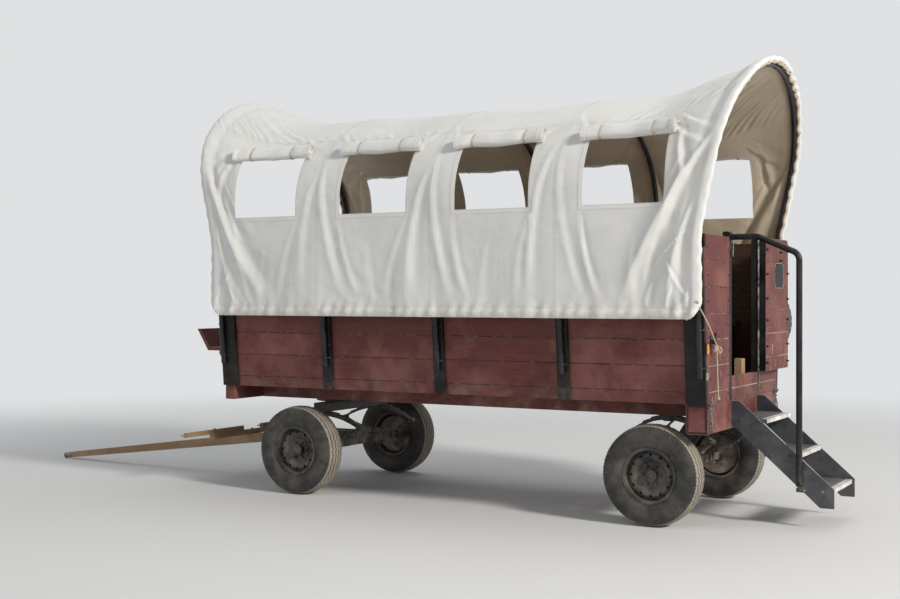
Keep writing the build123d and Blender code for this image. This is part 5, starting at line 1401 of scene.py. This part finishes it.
def wall_bolts():
    """Carriage bolts through every plank at every post, and through the end walls."""
    luck = random.Random(19)
    forms = []
    planks = range(int((WALL_TOP - BOX_FLOOR) / PLANK) + 1)
    heights = [max(WALL_TOP - (k + 0.5) * PLANK, LOWEST_BOLT) for k in planks]
    at_ends = {0: END_POST_BOLT, BAYS: BOX_LENGTH - END_POST_BOLT}
    for side, (i, x), (k, z) in product(SIDES, enumerate(STATIONS), enumerate(heights)):
        z = z if k else WALL_TOP - 0.045
        place = at_ends.get(i, x + (POST_BOLT if k % 2 else -POST_BOLT))
        spot = at(place + luck.uniform(-0.003, 0.003), side * wall_half(z, TRIM), z)
        forms.append(put(dome(*CARRIAGE_BOLT), spot, wall_way(side)))
    for side, z in product(SIDES, heights):
        for y in (JAMB + 0.028, wall_half(z, -BOARD) - WALL_EDGE):
            spot = at(0, side * (y + luck.uniform(-0.004, 0.004)), z + luck.uniform(-0.01, 0.01))
            forms.append(put(dome(0.008, 0.005), spot, BACK))
    for k, y in product(range(5), FRONT_BOLTS):
        z = FRONT_TOP - (k + 0.5) * PLANK
        if z >= 0.93:
            forms.append(put(dome(0.009, 0.006), at(BOX_LENGTH, y, z), (1, 0, 0)))
    made("wall_bolts", forms, "bolt_black")


def reflectors():
    """Amber reflectors on the rear corners, each in a thin black cup, and a small blank plate under each."""
    cups, lenses, plates = [], [], []

    def block(y, z, half_y, half_z, x0, x1, bevel):
        return slab(at(x0, y - half_y, z - half_z), at(x1, y + half_y, z + half_z), bevel)

    for side in SIDES:
        y, plate_y = (side * (wall_half(z) - REFLECTOR_INSET) for z in (REFLECTOR_Z, CORNER_PLATE_Z))
        cups.append(block(y, REFLECTOR_Z, 0.022, 0.040, -0.008, 0.0, 0.002))
        lenses.append(block(y, REFLECTOR_Z, 0.018, 0.035, -0.014, -0.007, 0.003))
        plates.append(block(plate_y, CORNER_PLATE_Z, 0.025, 0.026, -0.0022, 0.0, 0.0006))
    made("reflector_cups", cups, "bolt_black")
    made("reflector_lenses", lenses, "amber")
    made("corner_plates", plates, "zinc", "hinge_steel")


def beam_irons():
    """A black rim on each end of the rear beam, and muddy brackets with loops and a hook on its rear face."""
    low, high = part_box("rear_beam")
    rims, irons = [], []
    x0, x1 = low.x + BEAM_RIM_INSET, high.x - BEAM_RIM_INSET
    z0, z1 = low.z + BEAM_RIM_INSET, high.z - BEAM_RIM_INSET
    inner_z0, inner_z1 = z0 + BEAM_RIM, z1 - BEAM_RIM
    bars = ((x0, x1, z0, inner_z0), (x0, x1, inner_z1, z1), (x0, x0 + BEAM_RIM, inner_z0, inner_z1),
            (x1 - BEAM_RIM, x1, inner_z0, inner_z1))
    face = low.x - IRON_THICK
    for side in SIDES:
        end = high.y if side > 0 else low.y
        skin = sorted((end, end + side * BEAM_RIM_PROUD))
        rims += [slab((left, skin[0], bottom), (right, skin[1], top), 0.0012)
                 for left, right, bottom, top in bars]
        y = end - side * IRON_FROM_END
        irons.append(slab((face, y - 0.019, low.z + 0.055), (low.x, y + 0.019, high.z - 0.003), 0.0015))
        irons += [put(nut(0.010, 0.009, 0.005), (face, y, z), BACK) for z in (high.z - 0.040, low.z + 0.080)]
        for shift, size in ((-0.022, 0.017), (0.020, 0.021)):
            middle = Vector((face - 0.006, y + shift, high.z - 0.012))
            loop = [middle + Vector((-0.012 * math.sin(a), size * math.cos(a), size * 1.2 * math.sin(a)))
                    for a in np.linspace(0, TURN, 25)[:-1]]
            irons.append(tube(loop, 0.0042, 8, closed=True))
        hook = [(-0.004, 0.012, high.z - 0.060), (-0.014, 0.014, high.z - 0.105),
                (-0.016, 0.014, low.z + 0.040)]
        hook += [(-0.016, 0.014 - 0.020 * (1 - math.cos(a)), low.z + 0.040 - 0.020 * math.sin(a))
                 for a in np.linspace(0.3, math.pi, 10)]
        hook = [Vector((face + proud, y + side * across, z)) for proud, across, z in hook]
        irons.append(tube(smooth_line(hook, 4), 0.0048, 8))
    made("beam_rims", rims, "bolt_black")
    made("beam_irons", irons, "grey_iron")


def step_trim():
    """Bright worn nosings and raised ribs on the treads, and the bolts that carry them."""
    low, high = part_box("steps")
    nosings, ribs, bolts = [], [], []
    middle = (low.y + high.y) / 2
    half = (high.y - low.y) / 2 - STRINGER
    left, right = middle - half + 0.004, middle + half - 0.004
    for i in range(STEP_COUNT):
        edge = REAR - ((STEP_COUNT - 1 - i) * STEP_GOING + TREAD_REACH + TREAD_DEPTH)
        top = FIRST_TREAD_Z + i * STEP_RISE
        for end, bottom in ((0.001, top - 0.030), (0.040, top)):
            nosings.append(slab((edge - 0.002, left, bottom), (edge + end, right, top + 0.0022), 0.0008))
        for k in range(TREAD_RIBS):
            x = edge + 0.056 + k * RIB_PITCH
            ribs.append(slab((x, left + 0.008, top), (x + 0.007, right - 0.008, top + 0.0024), 0.001))
        for side, x in product(SIDES, (edge + 0.06, edge + 0.19)):
            spot = (x, middle + side * (half + STRINGER), top - 0.015)
            bolts.append(put(nut(0.0085, 0.007, 0.0045), spot, (0, side, 0)))
    made("step_nosings", nosings, "bright_steel", "tread_steel")
    made("step_ribs", ribs, "tread_steel", "tread_steel")
    made("step_bolts", bolts, "axle_steel", "tread_steel")


def staple(x, y, z, across, legs):
    """A bent rod's path, up one leg and down the other; a leg is how far off the middle and how high."""
    both = [(-off, up) for off, up in legs] + list(reversed(legs))
    return [Vector((x, y, z)) + Vector(across) * off + Vector((0, 0, up)) for off, up in both]


def spring_clips(end, body):
    """Saddle plates, U-bolts and eye bolts on an axle's two springs."""
    low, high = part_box(f"{end}_springs")
    axle_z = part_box(f"{end}_axle")[0].z
    x = (low.x + high.x) / 2
    base, top = axle_z - 0.004, low.z + SADDLE_RISE
    legs = ((UBOLT_Y, base), (UBOLT_Y, top - UBOLT_BEND), (UBOLT_Y - UBOLT_BEND, top))
    forms = []
    for side in SIDES:
        y = MIDDLE + side * SPRING_Y
        for bolt_x in (x - UBOLT_X, x + UBOLT_X):
            forms.append(tube(staple(bolt_x, y, 0, (0, 1, 0), legs), UBOLT_ROD, 8))
            for sign in (-1, 1):
                spot = (bolt_x, y + sign * UBOLT_Y, base - 0.002)
                forms.append(put(nut(0.011, 0.010, 0.006), spot, (0, 0, -1), (1, 0, 0)))
        forms.append(slab((x - 0.062, y - 0.052, axle_z - 0.008), (x + 0.062, y + 0.052, axle_z), 0.002))
        for end_x, sign in product((low.x + SPRING_EYE, high.x - SPRING_EYE), (-1, 1)):
            spot = (end_x, y + sign * SPRING_HALF_WIDTH, (low.z + high.z) / 2)
            forms.append(put(nut(0.012, 0.009, 0.006), spot, (0, sign, 0)))
    made(f"{end}_spring_clips", forms, "axle_steel", body=body)


def rail_hook():
    """A bent grey rod over the right rail, beside the flat hook that carries the spare wheel."""
    place = at(HANGER_X, BOARD + 0.012 - wall_half(WALL_TOP), WALL_TOP)
    legs = ((0.020, -0.105), (0.020, 0.030), (0.014, 0.038))
    made("rail_hook", [tube(staple(*place, (1, 0, 0), legs), 0.0042)], "zinc", "hinge_steel")


def grain_block():
    """A bare sawn block on the deck beside the far jamb."""
    deck_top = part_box("floor_deck")[1].z
    block = slab(at(*BLOCK_LOW, deck_top), at(*BLOCK_HIGH), 0.0025)
    made("grain_block", [block], "end_grain", "floor_wood")


def rail_flanges():
    """Screws of the handrail's wall plate, and collars at its foot."""
    low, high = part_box("handrail")
    y = (low.y + high.y) / 2
    foot_x = REAR + RAIL_FOOT_X
    forms = [put(dome(0.005, 0.003, 10), (REAR - 0.008, y + sy * 0.022, RAIL_PLATE_Z + sz * 0.022), BACK)
             for sy, sz in SQUARE]
    cap = lathe([(0, -0.003), (0.021, -0.003), (0.0225, 0.0), (0.0225, 0.010), (0, 0.010)], 24)
    forms.append(([v + Vector((foot_x, y, low.z)) for v in cap[0]], cap[1]))
    forms += [put(nut(0.009, 0.008, 0.005), (foot_x, y + 0.022, z), (0, 1, 0)) for z in (0.32, 0.46)]
    made("rail_flanges", forms, "bolt_black")


def wheel_trim(node, body, outward):
    """Valve stem of a wheel, and on a road wheel the brake drum behind its disc."""
    low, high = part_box(node)
    centre = (low + high) / 2
    out = Vector((0, outward, 0))
    face = high.y if outward > 0 else low.y
    root = Vector((centre.x + VALVE_RADIUS, face - outward * VALVE_DEPTH, centre.z + 0.02))

    def along(reach, in_x):
        return root + out * reach - Vector((in_x, 0, 0))

    stem = tube([root, along(0.020, 0), along(0.038, 0.008)], VALVE_STEM)
    cap = tube([along(0.030, 0.006), along(0.044, 0.010)], VALVE_CAP)
    made(f"valve_{node}", [stem, cap], "bolt_black", "wheel_steel", body)
    if node.startswith("wheel"):
        back, front = DRUM
        steps = ((-0.012, back), (0, back + 0.004), (0, back + 0.012), (-0.006, back + 0.016),
                 (-0.006, front - 0.016), (0, front - 0.012), (0, front - 0.004), (-0.010, front))
        profile = [(0, back), *((DRUM_RADIUS + step, y) for step, y in steps), (0, front)]
        made(f"drum_{node}", [put(lathe(profile, 48), centre, out)], "axle_steel", "wheel_steel", body)


def wheels():
    """The dressed tyre and the trim of each wheel."""
    for end, (outward, side) in product(("rear", "front"), SIDES.items()):
        corner, body = f"{end}_{side}", f"{end}_{side}_wheel"
        tyre(f"road_tyre_{corner}", f"tyre_{corner}", body, "tyre_road")
        wheel_trim(f"wheel_{corner}", body, outward)
    tyre("road_tyre_spare", "spare_tyre", "wagon", "tyre_spare")
    wheel_trim("spare_wheel", "wagon", -1)


# Stage, light and camera
SKY, SKY_COLOUR = 0.34, (0.92, 0.96, 1.0, 1.0)
BACKDROP = (0.74, 0.75, 0.76, 1.0)
FLOOR, FLOOR_HALF = (0.80, 0.795, 0.785, 1.0), 60.0
FADE = (4.5, 13.0)
# Lamps, columns: place, size, watts, colour
LAMPS = {
    "key": ((-18.2, 5.9, 11.5), 4.0, 4150, (1.0, 0.965, 0.91)),
    "fill": ((11.5, 17.0, 7.0), 10.0, 330, (0.93, 0.96, 1.0)),
    "top": ((2.0, -5.0, 15.0), 10.0, 330, (1.0, 1.0, 1.0)),
}
LIT = (2.1, 0, 1.5)
EYE, AIM = (-2.9, 9.6, 1.65), (2.55, 0.0, 1.62)
LENS_MM, SENSOR_MM = 52.0, 36.0
BACKDROP_RAYS = ("Is Camera Ray", "Is Glossy Ray", "Is Transmission Ray")


def backed(tree, near, share=None):
    """A shader that gives way to the plain backdrop for the camera, glass and metal, wholly or by a share."""

    def node(kind, *links, **settings):
        new = tree.nodes.new("ShaderNode" + kind)
        for key, value in settings.items():
            setattr(new, key, value)
        for socket, source in enumerate(links):
            if source is not None:
                tree.links.new(source, new.inputs[socket])
        return new

    rays = node("LightPath").outputs
    seen = rays[BACKDROP_RAYS[0]]
    for ray in BACKDROP_RAYS[1:]:
        seen = node("Math", seen, rays[ray], operation="MAXIMUM").outputs[0]
    if share is not None:
        seen = node("Math", share, seen, operation="MULTIPLY").outputs[0]
    glow = node("Background" if share is None else "Emission")
    glow.inputs["Color"].default_value = BACKDROP
    glow.inputs["Strength"].default_value = 1.0
    return node("MixShader", seen, near, glow.outputs[0]).outputs[0]


def stage():
    mesh = bpy.data.meshes.new("floor")
    corners = [(x * FLOOR_HALF, y * FLOOR_HALF, 0) for x, y in ((-1, -1), (1, -1), (1, 1), (-1, 1))]
    mesh.from_pydata(corners, [], [(0, 1, 2, 3)])
    floor = bpy.data.objects.new("studio_floor", mesh)
    bpy.context.scene.collection.objects.link(floor)
    s = Surface("studio_floor", Roughness=0.9, Base_Color=FLOOR)
    away = s.node("VectorMath", {0: s.place(), 1: at(BOX_LENGTH / 2, 0, 0)}, operation="DISTANCE")
    mixed = backed(s.tree, s.shader.outputs[0], s.span(away.outputs["Value"], *FADE))
    s.tree.links.new(mixed, s.tree.nodes["Material Output"].inputs["Surface"])
    mesh.materials.append(s.material)
    world = bpy.data.worlds.new("studio")
    bpy.context.scene.world = world
    world.use_nodes = True
    tree = world.node_tree
    light = tree.nodes["Background"]
    light.inputs["Color"].default_value = SKY_COLOUR
    light.inputs["Strength"].default_value = SKY
    tree.links.new(backed(tree, light.outputs[0]), tree.nodes["World Output"].inputs["Surface"])


def aimed(name, data, place, target):
    """A lamp or a camera at a place, turned to a target."""
    holder = bpy.data.objects.new(name, data)
    bpy.context.scene.collection.objects.link(holder)
    holder.location = at(*place)
    holder.rotation_euler = (at(*target) - at(*place)).to_track_quat("-Z", "Y").to_euler()
    return holder


def camera():
    view = bpy.data.cameras.new("view")
    view.lens = LENS_MM
    view.sensor_width = SENSOR_MM
    bpy.context.scene.camera = aimed("view", view, EYE, AIM)


def lights():
    for name, (place, size, watts, colour) in LAMPS.items():
        light = bpy.data.lights.new(name, "AREA")
        light.shape = "DISK"
        light.size = size
        light.energy = watts
        light.color = colour
        aimed(name, light, place, LIT)


dress_nodes()
camera()
rope_pieces()
sheet = cover()
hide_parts("canvas_cover")
gathered_casing()
for side in SIDES:
    window_rolls(side)
    window_binding(side)
seam_stitches()
wheels()
door_fittings()
hinge_screws()
bow_clamps()
wall_bolts()
reflectors()
beam_irons()
step_trim()
spring_clips("rear", "wagon")
spring_clips("front", "front_truck")
rail_hook()
grain_block()
rail_flanges()
stage()
lights()
bpy.context.scene.view_settings.view_transform = "Standard"
